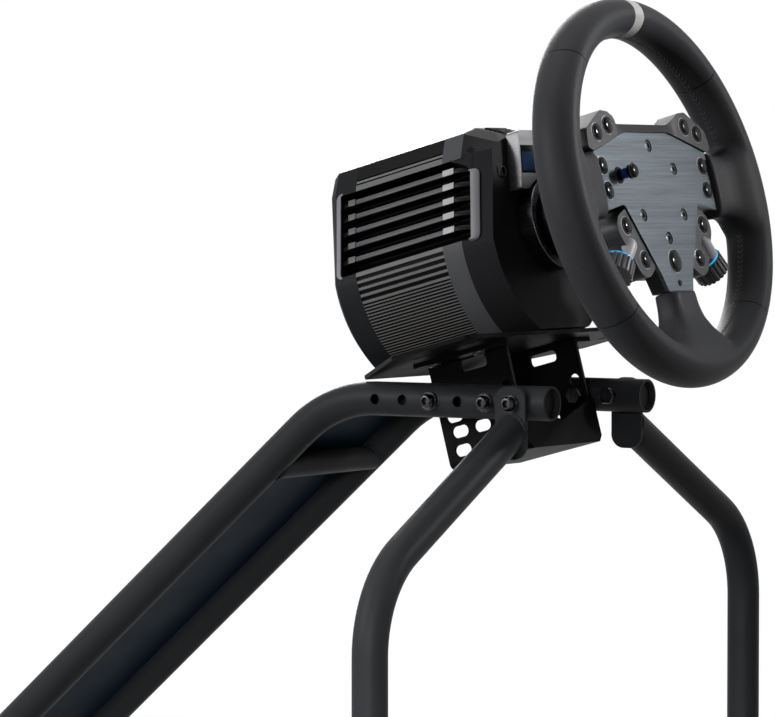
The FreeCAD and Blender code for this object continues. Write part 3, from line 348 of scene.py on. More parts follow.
def addPiece(name, mesh, material, body, smooth=35, replaces=None):
    piece = bpy.data.objects.new(name, mesh)
    scene.collection.objects.link(piece)
    mesh.materials.clear()
    mesh.materials.append(material)
    if smooth is not None:
        mesh.shade_smooth()
        mesh.set_sharp_from_angle(angle=math.radians(smooth))
    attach(piece, body)
    if replaces is not None:
        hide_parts(replaces)
    return piece


def workObject(name, mesh):
    holder = bpy.data.objects.new(name, mesh)
    scene.collection.objects.link(holder)
    return holder


def plainMesh(holder):
    # the mesh with its modifiers applied; the holder goes
    graph = bpy.context.evaluated_depsgraph_get()
    mesh = bpy.data.meshes.new_from_object(holder.evaluated_get(graph), depsgraph=graph)
    bpy.data.objects.remove(holder)
    return mesh


def meshFrom(build, place=None):
    # build fills a bmesh; place is applied to the mesh itself
    work = bmesh.new()
    build(work)
    bmesh.ops.recalc_face_normals(work, faces=work.faces)
    mesh = bpy.data.meshes.new("work")
    work.to_mesh(mesh)
    work.free()
    if place is not None:
        mesh.transform(place)
    return mesh


def joined(name, meshes):
    work = bmesh.new()
    for mesh in meshes:
        work.from_mesh(mesh)
    made = bpy.data.meshes.new(name)
    work.to_mesh(made)
    work.free()
    return made


def dress(node, material, bevel=0.0, segments=2, limit=40, smooth=38, shape=None, name=None):
    # a merged copy of the solid with softened edges; it stands for the node unless it has its own name
    mesh = frame["nodes"][node].data.copy()
    work = bmesh.new()
    work.from_mesh(mesh)
    bmesh.ops.remove_doubles(work, verts=work.verts, dist=2e-6)
    bmesh.ops.dissolve_limit(work, angle_limit=math.radians(0.6), verts=work.verts, edges=work.edges)
    if shape is not None:
        bmesh.ops.transform(work, matrix=wheelFrame.inverted(), verts=work.verts)
        shape(work)
        bmesh.ops.transform(work, matrix=wheelFrame, verts=work.verts)
    work.to_mesh(mesh)
    work.free()
    if "custom_normal" in mesh.attributes:
        mesh.attributes.remove(mesh.attributes["custom_normal"])
    mesh.shade_smooth()
    mesh.set_sharp_from_angle(angle=math.radians(smooth))
    holder = workObject(node + "_work", mesh)
    if bevel:
        soft = holder.modifiers.new("edges", "BEVEL")
        soft.width = bevel
        soft.segments = segments
        soft.limit_method = "ANGLE"
        soft.angle_limit = math.radians(limit)
        soft.use_clamp_overlap = True
    level = holder.modifiers.new("level", "WEIGHTED_NORMAL")
    level.keep_sharp = True
    level.weight = 100
    stoodFor = node if name is None else None
    return addPiece(name or node + "_skin", plainMesh(holder), material, bodyOf[node],
                    None, stoodFor)


def arc(sweep, steps, start=0.0):
    # cosine and sine from the start of a sweep to its end
    turns = [start + sweep * i / steps for i in range(steps + 1)]
    return [(math.cos(a), math.sin(a)) for a in turns]


def circle(radius, z, steps, centre=(0, 0), flat=1.0):
    turns = arc(math.tau, steps)[:-1]
    return [(centre[0] + radius * cos, centre[1] + radius * flat * sin, z) for cos, sin in turns]


def skin(work, rings):
    # joins rings of points into one closed shell
    made = [[work.verts.new(tuple(point)) for point in ring] for ring in rings]
    count = len(made[0])
    for one, two in zip(made, made[1:]):
        for i in range(count):
            j = (i + 1) % count
            work.faces.new((one[i], one[j], two[j], two[i]))
    work.faces.new(list(reversed(made[0])))
    work.faces.new(made[-1])


def lathe(work, profile, steps=40, centre=(0, 0)):
    # profile of (radius, height) pairs turned about z; a radius of 0 is a single point
    rings = []
    for radius, height in profile:
        points = circle(radius, height, steps, centre) if radius > 1e-7 else [(*centre, height)]
        rings.append([work.verts.new(point) for point in points])
    for one, two in zip(rings, rings[1:]):
        for i in range(steps):
            j = (i + 1) % steps
            corners = [one[i % len(one)], one[j % len(one)], two[j % len(two)], two[i % len(two)]]
            unique = list(dict.fromkeys(corners))
            if len(unique) > 2:
                work.faces.new(unique)


def inMm(pairs):
    return [(a * mm, b * mm) for a, b in pairs]


def roundBox(work, low, high, radius, steps=3):
    # a box in mm with every upright edge rounded and its top edge softened
    (x0, y0, z0), (x1, y1, z1) = low, high
    levels = ((0.0, z0), (0.0, z1 - radius * 0.6), (radius * 0.18, z1 - radius * 0.18), (radius * 0.6, z1))
    rings = []
    for inset, z in levels:
        hx, hy = (x1 - x0) / 2 - inset, (y1 - y0) / 2 - inset
        r = min(radius, hx * 0.95, hy * 0.95)
        ring = []
        for k, (sx, sy) in enumerate(((1, 1), (-1, 1), (-1, -1), (1, -1))):
            for cos, sin in arc(math.pi / 2, steps, k * math.pi / 2):
                x, y = (x0 + x1) / 2 + sx * (hx - r) + r * cos, (y0 + y1) / 2 + sy * (hy - r) + r * sin
                ring.append((x * mm, y * mm, z * mm))
        rings.append(ring)
    skin(work, rings)


def socketHead(work, head, dome=0.35, seat=0.0):
    # button head with a hexagon socket, drawn by rings from its seat up and down into the socket
    steps, sixth = 36, math.pi / 3
    radius, height, key = head["radius"], head["high"], head["key"]
    profile = [(radius, 0.0), (radius, height * 0.35), (radius * 0.93, height * 0.72),
               (radius * 0.72, height * (1 - dome * 0.15)), (key * 1.25, height)]
    rings = [circle(r, seat + z, steps) for r, z in profile]
    for z in (height, height - head["deep"]):
        # key is the inner radius of the hexagon
        turns = [math.tau * i / steps for i in range(steps)]
        reach = [key / math.cos(a % sixth - sixth / 2) for a in turns]
        rings.append([(r * math.cos(a), r * math.sin(a), seat + z) for r, a in zip(reach, turns)])
    skin(work, rings)


# a geometry tree that sets copies of a template; sizes come in by named sockets
class CopyTree(NodeTree):
    def __init__(self, name, asked):
        super().__init__(bpy.data.node_groups.new(name, "GeometryNodeTree"))
        sockets = self.tree.interface
        sockets.new_socket("Geometry", in_out="OUTPUT", socket_type="NodeSocketGeometry")
        self.keys = {}
        for word, kind in {**asked, "Template": "Object", "Finish": "Material"}.items():
            made = sockets.new_socket(word, in_out="INPUT", socket_type="NodeSocket" + kind)
            self.keys[word] = made.identifier
        entry = self.tree.nodes.new("NodeGroupInput")
        self.given = {word: Wire(self.tree, entry.outputs[word]) for word in self.keys}

    def setCopies(self, points, turn, size=(1, 1, 1)):
        shape = self.node("GeometryNodeObjectInfo", None, {"Object": self.given["Template"]}, out="Geometry")
        copies = self.node("GeometryNodeInstanceOnPoints", None, {
            "Points": points, "Instance": shape, "Rotation": turn, "Scale": size})
        real = self.node("GeometryNodeRealizeInstances", None, {"Geometry": copies})
        paint = self.node("GeometryNodeSetMaterial", None, {
            "Geometry": real, "Material": self.given["Finish"]})
        self.tree.links.new(paint.socket, self.tree.nodes.new("NodeGroupOutput").inputs[0])

    def grow(self, seed, **values):
        # runs the tree on a holder object and gives back the plain mesh
        holder = workObject("grow", seed)
        modifier = holder.modifiers.new("grow", "NODES")
        modifier.node_group = self.tree
        for key, value in values.items():
            modifier[self.keys[key]] = value
        return plainMesh(holder)


def ringTree():
    # copies round a circle, each turned to face the centre
    tree = CopyTree("ringOf", {"Radius": "Float", "Count": "Int", "Start": "Float", "Lift": "Float"})
    radius, count, start, lift = (tree.given[word] for word in ("Radius", "Count", "Start", "Lift"))
    ring = tree.node("GeometryNodeMeshCircle", None, {"Vertices": count, "Radius": radius})
    angle = tree.node("GeometryNodeInputIndex") * (math.tau / count) + start
    spot = tree.node("ShaderNodeCombineXYZ", None, {
        0: angle.maths("COSINE") * radius, 1: angle.maths("SINE") * radius, 2: lift})
    moved = tree.node("GeometryNodeSetPosition", None, {"Geometry": ring, "Position": spot})
    tree.setCopies(moved, tree.node("ShaderNodeCombineXYZ", None, {2: angle}))
    return tree


def spotTree():
    # copies on each point of the seed mesh, turned by its "turn" attribute
    tree = CopyTree("onSpots", {"Seed": "Geometry", "Size": "Float"})
    turn = tree.node("GeometryNodeInputNamedAttribute", {"data_type": "FLOAT_VECTOR"}, {"Name": "turn"})
    tree.setCopies(tree.given["Seed"], turn, tree.given["Size"])
    return tree


ringOf = ringTree()
onSpots = spotTree()


def template(name, build):
    mesh = meshFrom(build)
    mesh.shade_smooth()
    mesh.set_sharp_from_angle(angle=math.radians(35))
    made = workObject(name, mesh)
    made.hide_render = True
    made["template"] = True
    return made


def ringCopies(shape, finish, radius, count, start=0.0, lift=0.0):
    # a ring of copies round the wheel's axis
    made = ringOf.grow(bpy.data.meshes.new("seed"), Radius=radius, Count=count, Start=start, Lift=lift,
                       Template=shape, Finish=finish)
    made.transform(wheelFrame)
    return made


def spotCopies(spots, shape, finish, size=1.0):
    # copies on spots, which are (place, euler) pairs
    seed = bpy.data.meshes.new("spots")
    seed.from_pydata([tuple(place) for place, euler in spots], [], [])
    turn = seed.attributes.new("turn", "FLOAT_VECTOR", "POINT")
    for i, (place, euler) in enumerate(spots):
        turn.data[i].vector = tuple(euler)
    return onSpots.grow(seed, Size=size, Template=shape, Finish=finish)


def turnTo(xAxis, zAxis):
    # euler that lays a template's x and z along two directions
    z = Vector(zAxis).normalized()
    x = (Vector(xAxis) - z * Vector(xAxis).dot(z)).normalized()
    return Matrix((x, z.cross(x), z)).transposed().to_euler()


def wheelSpot(x, h, z):
    return wheelFrame @ Vector((x * mm, h * mm, z * mm))


def wheelWay(x, h, z):
    return wheelFrame.to_3x3() @ Vector((x, h, z))


def scatter(name, spots, shape, finish, body, smooth=35, size=1.0):
    # one piece made of many copies
    addPiece(name, spotCopies(spots, shape, finish, size), finish, body, smooth)


def turned(name, profile, finish, body, smooth=40, spot=(0, 0), steps=40, replaces=None,
           place=wheelFrame):
    # a piece turned about the wheel's axis or a spot beside it, from (radius, height) pairs in mm
    centre = (spot[0] * mm, spot[1] * mm)
    mesh = meshFrom(lambda work: lathe(work, inMm(profile), steps, centre), place)
    addPiece(name, mesh, finish, body, smooth, replaces)


def middle(node):
    low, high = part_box(node)
    return (Vector(low) + Vector(high)) / 2


# frame tubes and folded sheet: finish and edge radius of each node
tubeEdge, tabEdge = 0.25 * mm, 0.8 * mm
for node in ("left_column_tube", "right_column_tube", "column_crossbar", "left_leg_tube",
             "right_leg_tube", "left_floor_rail", "right_floor_rail", "front_floor_tube"):
    dress(node, tubePaint, tubeEdge, 2, 50, 40)
frameFinish = {
    "left_leg_tab": (tubePaint, tabEdge), "right_leg_tab": (tubePaint, tabEdge),
    "deck_plate": (sheetPaint, 0.6 * mm), "tilt_bracket": (sheetPaint, 0.4 * mm),
    "column_panel": (panelPaint, 0.3 * mm), "rubber_feet": (footRubber, 1.2 * mm),
    "tube_end_plugs": (plugSkin, 0.7 * mm),
}
for node, (material, edge) in frameFinish.items():
    dress(node, material, edge)
print("frame dressed")

# bolts through the column tubes: socket head, washer, shank, spacer and nut
frameBolt = {
    "head": {"radius": 5.6 * mm, "high": 5.0 * mm, "key": 2.6 * mm, "deep": 2.8 * mm}, "dome": 0.1,
    "washer": 7.0 * mm, "washerHigh": 1.5 * mm, "shank": 3.9 * mm, "spacer": 7.5 * mm,
    "nut": 6.6 * mm, "nutHigh": 5.5 * mm, "nutEdge": 0.6 * mm, "nutCorner": 0.93,
    "tubeHeight": 560 * mm, "tabRow": -335.5245 * mm, "tubeRows": (-311.5245 * mm, -263.5245 * mm),
    "tabFace": 87.2 * mm, "tubeFace": 83.2 * mm, "tubeInner": 57.8 * mm,
    "bracket": 52.0 * mm, "sheet": 3.0 * mm,
}


def wholeBolt(work, run, spacerFrom=0.0, spacerTo=0.0):
    # seat of the washer at z = 0, head above it, nut at the far end of the run
    f = frameBolt
    wide, high = f["washer"], f["washerHigh"]
    lathe(work, [(0, 0), (wide * 0.97, 0), (wide, high * 0.2), (wide, high * 0.8),
                 (wide * 0.97, high), (0, high)])
    socketHead(work, f["head"], f["dome"], high)
    lathe(work, [(0, -run), (f["shank"], -run), (f["shank"], 0), (0, 0)], 28)
    low, edge, corner = -run - f["nutHigh"], f["nutEdge"], f["nutCorner"]
    nut = ((low, corner), (low + edge, 1.0), (-run - edge, 1.0), (-run, corner))
    skin(work, [circle(f["nut"] * share, z, 6) for z, share in nut])
    if spacerTo > spacerFrom:
        wide = f["spacer"]
        lathe(work, [(0, -spacerTo), (wide, -spacerTo), (wide, -spacerFrom), (0, -spacerFrom)])


def boltSpots(face, rows):
    return [((side * face, y, frameBolt["tubeHeight"]), turnTo((0, 1, 0), (side, 0, 0)))
            for side in (-1, 1) for y in rows]


legRow, tabFace, tubeFace = frameBolt["tabRow"], frameBolt["tabFace"], frameBolt["tubeFace"]
toInner, toBracket = tubeFace - frameBolt["tubeInner"], tubeFace - frameBolt["bracket"]
tabBolt = template("tabBolt", lambda w: wholeBolt(w, tabFace - frameBolt["tubeInner"]))
tubeBolt = template("tubeBolt", lambda w: wholeBolt(w, toBracket + frameBolt["sheet"], toInner, toBracket))
boltMesh = joined("frame_bolts_turned", [
    spotCopies(boltSpots(tabFace, (legRow,)), tabBolt, darkSteel),
    spotCopies(boltSpots(tubeFace, frameBolt["tubeRows"]), tubeBolt, darkSteel)])
addPiece("frame_bolts_turned", boltMesh, darkSteel, "stand", replaces="frame_bolts")

# weld beads where a tube end meets another tube or a tab
weld = {
    "bead": 1.9 * mm, "step": 2.3 * mm, "wide": 1.15, "narrow": 0.8,
    "tube": 12.7 * mm, "bar": 9.5 * mm, "slope": 41.2, "splay": 27.7,
    "legSide": 0.274, "legFrom": 0.3, "railHigh": 0.0187, "railFrom": 0.1,
    "columnSide": 0.0705, "columnBack": 0.2, "columnCorner": (-0.1710245, 0.56),
    "tabHigh": 0.5382, "tabBeads": 38,
}


def weldBead(work):
    bead, wide = weld["bead"], weld["wide"]
    levels = ((-0.35, 0.55), (0.0, 1.0), (0.35, 0.92), (0.62, 0.6), (0.75, 0.2))
    skin(work, [circle(bead * r * wide, bead * z, 8, flat=weld["narrow"] / wide) for z, r in levels])


def roundTube(one, two, count):
    # directions out of a tube, all round it from one towards two
    return [one * cos + two * sin for cos, sin, z in circle(1.0, 0.0, count)]


def weldSpots(start, way, radius, other, otherWay):
    # points on the run of one tube that touch the skin of another
    start, way = Vector(start), Vector(way).normalized()
    other, otherWay = Vector(other), Vector(otherWay).normalized()
    one = way.orthogonal().normalized()
    spots = []
    for out in roundTube(one, way.cross(one), int(math.tau * radius / weld["step"])):
        gap = start + out * radius - other
        flatWay = way - otherWay * way.dot(otherWay)
        flatGap = gap - otherWay * gap.dot(otherWay)
        qa, qb = flatWay.dot(flatWay), 2 * flatWay.dot(flatGap)
        inside = qb * qb - 4 * qa * (flatGap.dot(flatGap) - weld["tube"] ** 2)
        if inside <= 0:
            continue
        place = start + out * radius + way * ((-qb - math.sqrt(inside)) / (2 * qa))
        away = place - other
        away -= otherWay * away.dot(otherWay)
        spots.append((place, turnTo(way.cross(out), out + away.normalized())))
    return spots


def tabSpots(side):
    # the splayed leg ends on the flat of its tab
    leg = math.radians(weld["splay"])
    face = side * tabFace
    legTop = Vector((face, legRow, weld["tabHigh"]))
    legWay = Vector((-side * math.cos(leg), 0, math.sin(leg)))
    one = Vector((0, 1, 0))
    spots = []
    for out in roundTube(one, one.cross(legWay), weld["tabBeads"]):
        place = legTop + out * weld["tube"]
        place += legWay * ((face - place.x) / legWay.x)
        spots.append((place, turnTo(legWay.cross(out), out + Vector((side, 0, 0)))))
    return spots


frontTube, crossbar = middle("front_floor_tube"), middle("column_crossbar")
slope, tube = math.radians(weld["slope"]), weld["tube"]
columnWay = Vector((0, math.cos(slope), -math.sin(slope)))
beads = []
for side in (-1, 1):
    legX, columnX, railHigh = side * weld["legSide"], side * weld["columnSide"], weld["railHigh"]
    beads += weldSpots((legX, legRow, weld["legFrom"]), (0, 0, -1), tube, (legX, legRow, railHigh), (0, 1, 0))
    beads += weldSpots((legX, weld["railFrom"], railHigh), (0, 1, 0), tube, frontTube, (1, 0, 0))
    columnStart = Vector((columnX, frontTube.y, frontTube.z)) - columnWay * weld["columnBack"]
    beads += weldSpots(columnStart, columnWay, tube, frontTube, (1, 0, 0))
    beads += weldSpots(crossbar, (side, 0, 0), weld["bar"], (columnX, *weld["columnCorner"]), columnWay)
    beads += tabSpots(side)
scatter("weld_beads", beads, template("weldBead", weldBead), tubePaint, "stand", 60)
print("bolts and", len(beads), "weld beads set")

# motor base: edges and cuts in metres, tapers and vents in mm;
# h is up the wheel's frame and s away from the driver along its axis
base = {"capEdge": 1.6 * mm, "rearEdge": 2.2 * mm, "bezelEdge": 0.8 * mm, "collarEdge": 1.0 * mm,
        "capCut": -124.0 * mm, "grooveDeep": 0.2 * mm, "hullGap": 0.01 * mm,
        "roofFrom": 68 * mm, "roofShade": 0.94,
        "taperFrom": 125.0, "taperTo": 100.0, "taperIn": 6.0, "roofFall": 13.0}
# vent on the sloping flank, and the depth behind the flank that counts as inside it
vent = {"flankLow": (79.77, -6.0), "flankTop": (53.0, 62.0), "near": 116.0, "far": 234.0,
        "low": -3.5, "high": 59.5, "reach": 6.0, "inside": (2.0, 30.0)}
flankRun = Vector((vent["flankTop"][0] - vent["flankLow"][0], vent["flankTop"][1] - vent["flankLow"][1], 0))
flankOut = Vector((flankRun.y, -flankRun.x, 0)).normalized()


def flankAt(h):
    return vent["flankLow"][0] + flankRun.x * (h - vent["flankLow"][1]) / flankRun.y


def onPlane(side, h, s, out=0.0):
    # point on the flank carried on straight, in metres
    return Vector((side * (flankAt(h) + flankOut.x * out), h + flankOut.y * out, -s)) * mm


def onFlank(side, h, s, out=0.0):
    # point on the flank, following its taper at the front
    tuck = base["taperIn"] * max(0.0, (base["taperFrom"] - s) / (base["taperFrom"] - base["taperTo"]))
    return onPlane(side, h, s, out) - Vector((side * tuck * mm, 0, 0))


def markVent(work):
    # the walls and floor of the vents are marked deep, to take painted shade
    layer = work.faces.layers.float.get("deep") or work.faces.layers.float.new("deep")
    low, high = vent["low"] - vent["reach"], vent["high"] + vent["reach"]
    for face in work.faces:
        spot = face.calc_center_median() / mm
        behind = (flankAt(spot.y) - abs(spot.x)) * flankOut.x
        inVent = low < spot.y < high and vent["near"] - 1 < -spot.z < vent["far"] + 1
        if inVent and vent["inside"][0] < behind < vent["inside"][1]:
            face[layer] = 1.0


def allOf(work):
    return work.verts[:] + work.edges[:] + work.faces[:]


def keepSide(nose):
    # leaves the nose or the rest of the cap, closed again at the cut
    def cut(work):
        got = bmesh.ops.bisect_plane(
            work, geom=allOf(work), plane_co=(0, 0, base["capCut"]), plane_no=(0, 0, 1),
            clear_inner=nose, clear_outer=not nose)
        edges = [e for e in got["geom_cut"] if isinstance(e, bmesh.types.BMEdge)]
        bmesh.ops.holes_fill(work, edges=edges, sides=0)
        markVent(work)
    return cut


def markGrooves(work):
    # what lies behind the outline of the body is marked deep for painted shade in the grooves, and the roof
    # gets painted shade as well
    layer = work.faces.layers.float.new("deep")
    flat = [v.co.to_2d() for v in work.verts]
    outline = [flat[i] for i in convex_hull_2d(flat)]
    edges = [(one, two) for one, two in zip(outline, outline[1:] + outline[:1])
             if (two - one).length > base["hullGap"]]
    for face in work.faces:
        spot = face.calc_center_median().to_2d()
        depth = min(abs((two - one).normalized().cross(spot - one)) for one, two in edges)
        if depth > base["grooveDeep"] and abs(face.normal.z) < 0.6:
            face[layer] = 1.0
        # roof faces: painted shade
        elif spot.y > base["roofFrom"]:
            face[layer] = base["roofShade"]


def glassShape(work):
    rings = []
    for back, inset in ((glass["thick"], 0.0), (glass["edge"], 0.0), (0.0, glass["edge"])):
        low, high = glass["low"] + inset, glass["high"] - inset
        wide, narrow, z = glass["halfLow"] - inset, glass["halfHigh"] - inset, glass["face"] - back
        rings.append([(-wide, low, z), (wide, low, z), (narrow, high, z), (-narrow, high, z)])
    skin(work, rings)


# the front cap is cut in two and its nose takes the darker copy of the case plastic, painted shade
dress("front_cap", caseSkin, base["capEdge"], 3, 25, shape=keepSide(False))
dress("front_cap", noseSkin, base["capEdge"], 3, 25, shape=keepSide(True), name="front_cap_nose")
# the rear cap takes the darker copy of the case plastic, painted shade
dress("rear_cap", rearSkin, base["rearEdge"], 3, 25, shape=markVent)
dress("motor_body", ribSkin, shape=markGrooves)
dress("display_bezel", bezelPolish, base["bezelEdge"], 3)
addPiece("display_glass", meshFrom(glassShape, wheelFrame), screenFace, "stand", 20,
         "display_screen")
dress("shaft_collar", sleeveMetal, base["collarEdge"], 3)
print("motor base dressed")

# louvre bars: level with the flank, bent down at the rear and swept in behind the front frame
bar = {"count": 5, "first": 7.5, "pitch": 11.0, "half": 2.0, "deep": 9.0, "top": -0.3,
       "tail": ((234.0, -2.6), (228.5, -1.2)), "straight": (227.0, 200.0, 165.0, 133.0),
       "sweep": 6.4, "sweepCurve": 1.8, "sweepSteps": 6}
# blocks at the front and rear end of each bar
block = {"proud": 0.35, "half": 2.5, "round": 0.5, "front": (130.5, 140.6), "rear": (220.4, 227.0),
         "rearShade": 0.5}


def louvreBar(work):
    # x runs forward along the axis, z out of the flank, y across the bar
    half, low = bar["half"], -bar["deep"]
    stations = [(-s, top) for s, top in bar["tail"]] + [(-s, bar["top"]) for s in bar["straight"]]
    bend = bar["straight"][-1]
    for k in range(1, bar["sweepSteps"] + 1):
        share = k / bar["sweepSteps"]
        top = bar["top"] - bar["sweep"] * share ** bar["sweepCurve"]
        stations.append((-bend + (bend - vent["near"]) * share, top))
    rings = []
    for x, top in stations:
        outline = [(-half, low), (half, low), (half, top - 0.9), (half * 0.86, top - 0.25),
                   (half * 0.45, top), (-half * 0.45, top), (-half * 0.86, top - 0.25), (-half, top - 0.9)]
        rings.append([(x * mm, y * mm, z * mm) for y, z in outline])
    skin(work, rings)


def louvreBlock(work, ends):
    low, high = (-ends[1], -block["half"], -bar["deep"]), (-ends[0], block["half"], block["proud"])
    roundBox(work, low, high, block["round"])


def louvreSpots(side):
    turn = turnTo(wheelWay(0, 0, 1), wheelWay(side * flankOut.x, flankOut.y, 0))
    rows = [bar["first"] + i * bar["pitch"] for i in range(bar["count"])]
    return [(wheelSpot(side * flankAt(h), h, 0.0), turn) for h in rows]


# bent strips round the front and rear end of a vent, each with its width and fall
strip = {"front": (7.0, 2.2), "rear": (4.0, 0.0), "frontTop": 48.0, "proud": 0.25, "root": -7.0,
         "lip": 1.6, "bend": 5.0, "innerBend": 1.5, "edge": 0.5, "steps": 6}


def trimStrip(work, side, rear):
    # flat strip with two bent corners, level with the flank; the front one falls off to its outer edge
    low, lip, bend, inBend = vent["low"], strip["lip"], strip["bend"], strip["innerBend"]
    edge, high, outward = (vent["far"], vent["high"], 1) if rear else (vent["near"], strip["frontTop"], -1)
    wide, fall = strip["rear" if rear else "front"]
    bends = [(1 - cos, 1 - sin) for cos, sin in arc(math.pi / 2, strip["steps"])]
    back = edge - outward * inBend
    inner = [(0, back)] + [(inBend * h, edge - outward * inBend * s) for h, s in bends]
    outer = [(-lip, back)] + [(bend * h - lip, edge + outward * (wide - bend * s)) for h, s in bends]
    # the upper half is the lower one turned over
    inner, outer = ([(low + h, s) for h, s in half] + [(high - h, s) for h, s in reversed(half)]
                    for half in (inner, outer))
    top, root, drop = strip["proud"], strip["root"], strip["edge"]
    # across the strip: share of the way from its inner to its outer edge, and height on the flank
    across = ((0.0, root), (0.0, top - drop), (0.06, top), (0.5, top), (0.96, top - fall),
              (1.0, top - fall - drop), (1.0, root))
    skin(work, [[onPlane(side, ih + (oh - ih) * share, si + (so - si) * share, up) for share, up in across]
                for (ih, si), (oh, so) in zip(inner, outer)])


# slip that closes the upper front corner of a vent
slip = {"levels": (-8.6, -0.5, 0.02), "top": 0.12, "middle": (54.0, 122.0), "draw": 0.04}


def cornerPlate(work, side):
    # cut on a slant, level with the cap
    low, high, near = strip["frontTop"], vent["high"], vent["near"] - 0.6
    outline = [(high + 1.0, near), (high + 1.0, 134.0), (high - 0.6, 133.0), (high - 2.6, 128.0),
               (low + 4.2, 119.5), (low + 1.2, 117.6), (low - 1.5, near)]
    rings = [[onFlank(side, h, s, out) for h, s in outline] for out in slip["levels"]]
    (midH, midS), draw = slip["middle"], slip["draw"]
    drawn = [(h + (midH - h) * draw, s + (midS - s) * draw) for h, s in outline]
    rings.append([onFlank(side, h, s, slip["top"]) for h, s in drawn])
    skin(work, rings)


def markPaintedShade(mesh, side, litFrom=0.0, litTo=1000.0, shaded=(0.0, 0.0), shade=0.0):
    # painted shade: only what faces out of the flank keeps its colour, the rest is painted dark as the shade
    # inside the vent
    out = wheelWay(side * flankOut.x, flankOut.y, 0)
    toWheel = wheelFrame.inverted()
    deep = []
    for face in mesh.polygons:
        along = -(toWheel @ face.center).z / mm
        lit = face.normal.dot(out) > 0.3 and litFrom < along < litTo
        dim = shade if shaded[0] < along < shaded[1] else 0.0
        deep.append(dim if lit else 1.0)
    mesh.attributes.new("deep", "FLOAT", "FACE").data.foreach_set("value", deep)


barShape = template("louvreBar", louvreBar)
frontBlock = template("louvreBlock0", lambda w: louvreBlock(w, block["front"]))
rearBlock = template("louvreBlock1", lambda w: louvreBlock(w, block["rear"]))
for side, word in sides:
    node = word + "_vent_louvres"
    spots = louvreSpots(side)
    bars = spotCopies(spots, barShape, louvreSkin)
    markPaintedShade(bars, side, bar["straight"][-1] - 1.0, block["rear"][1])
    addPiece(node + "_bars", bars, louvreSkin, "stand", 40, node)
    ends = spotCopies(spots, frontBlock, trimSkin)
    markPaintedShade(ends, side)
    addPiece(node + "_ends", ends, trimSkin, "stand", 50)
    corner = meshFrom(lambda w: cornerPlate(w, side), wheelFrame)
    # the corner slip takes the darker nose copy of the case plastic, painted shade
    addPiece(node + "_corner", corner, noseSkin, "stand", 30)
    strips = [spotCopies(spots, rearBlock, stripSkin)]
    strips += [meshFrom(lambda w: trimStrip(w, side, rear), wheelFrame) for rear in (False, True)]
    strips = joined(node + "_strips", strips)
    # the rear blocks take half painted shade
    markPaintedShade(strips, side, shaded=block["rear"], shade=block["rearShade"])
    addPiece(node + "_strips", strips, stripSkin, "stand", 50)
print("louvres and vent frames set")

# low ridges on the roof of the front cap
ridge = {"count": 6, "from": 121.0, "pitch": 3.4, "roof": 83.3, "facing": (0, 0.89, 0.46),
         "low": (-15.0, -0.85, -1.2), "high": (15.0, 0.85, 1.3), "round": 0.7}
ridges = []
for i in range(ridge["count"]):
    s = ridge["from"] - i * ridge["pitch"]
    fall = base["roofFall"] * (base["taperFrom"] - s) / (base["taperFrom"] - base["taperTo"])
    ridges.append((wheelSpot(0, ridge["roof"] - fall, -s), turnTo((1, 0, 0), wheelWay(*ridge["facing"]))))
ridgeShape = template("roofRidge", lambda w: roundBox(w, ridge["low"], ridge["high"], ridge["round"]))
# the ridges take the darker nose copy of the case plastic, painted shade
scatter("roof_ridges", ridges, ridgeShape, noseSkin, "stand")

# screws of the front face and of the deck flanges
baseScrew = {"radius": 5.4 * mm, "high": 2.0 * mm, "key": 3.0 * mm, "deep": 1.9 * mm,
             "face": (42, 43, -100.0), "deckSide": 62, "deckAways": (140, 180),
             "deckHeights": ((-78.0, 1), (-84.0, -1)), "deckSize": 0.95}
screwShape = template("faceScrew", lambda w: socketHead(w, baseScrew))
axisTurn = turnTo((1, 0, 0), wheelWay(0, 0, 1))
x, h, z = baseScrew["face"]
faceSpots = [(wheelSpot(side * x, h, z), axisTurn) for side in (-1, 1)]
scatter("front_face_screws", faceSpots, screwShape, screwSteel, "stand")
deckSpots = [(wheelSpot(side * baseScrew["deckSide"], h, -away), turnTo((1, 0, 0), wheelWay(0, up, 0)))
             for side in (-1, 1) for away in baseScrew["deckAways"] for h, up in baseScrew["deckHeights"]]
scatter("deck_screws", deckSpots, screwShape, darkSteel, "stand", size=baseScrew["deckSize"])
print("ridges and screws set")

# rim and wrapped spokes, loose solids melted into one skin
rim = {
    "radius": 132.6 * mm, "radial": 14.35 * mm, "axial": 18.2 * mm, "steps": (300, 40),
    "voxel": 1.45 * mm, "rounds": 12, "face": 6.9, "back": -14.1, "spokeSteps": 28,
    # stations of a spoke: along, low, high, then how far face and back swell where it meets the rim
    "sideSpoke": ((83.6, -19.8, 31.2, 0, 0), (86, -19.6, 30.8, 0, 0), (94, -19, 28.6, 0.3, 0),
                  (102, -20.5, 27.8, 1.6, 0.4), (109, -25, 31, 4.0, 1.2), (116, -34, 38, 7.2, 2.4),
                  (122, -43, 46, 9.6, 3.2), (128, -50, 53, 10.6, 3.6)),
    "lowSpoke": ((75.1, -18, 18, 0, 0), (78, -18, 18, 0, 0), (86, -18.8, 18.8, 0.3, 0),
                 (95, -21, 21, 1.6, 0.4), (104, -27.5, 27.5, 4.2, 1.2), (112, -37, 37, 7.4, 2.4),
                 (120, -48, 48, 9.8, 3.2), (127, -55, 55, 10.6, 3.6)),
}


def spokeLoft(work, stations):
    # rounded boxes lofted along x
    rings = []
    for along, low, high, swell, sink in stations:
        back, face = rim["back"] - sink, rim["face"] + swell
        ring = []
        for cos, sin, z in circle(1.0, 0.0, rim["spokeSteps"]):
            across = math.copysign(abs(cos) ** 0.5, cos) * (high - low) / 2
            out = math.copysign(abs(sin) ** 0.5, sin) * (face - back) / 2
            ring.append(Vector((along, (low + high) / 2 + across, (back + face) / 2 + out)) * mm)
        rings.append(ring)
    skin(work, rings)


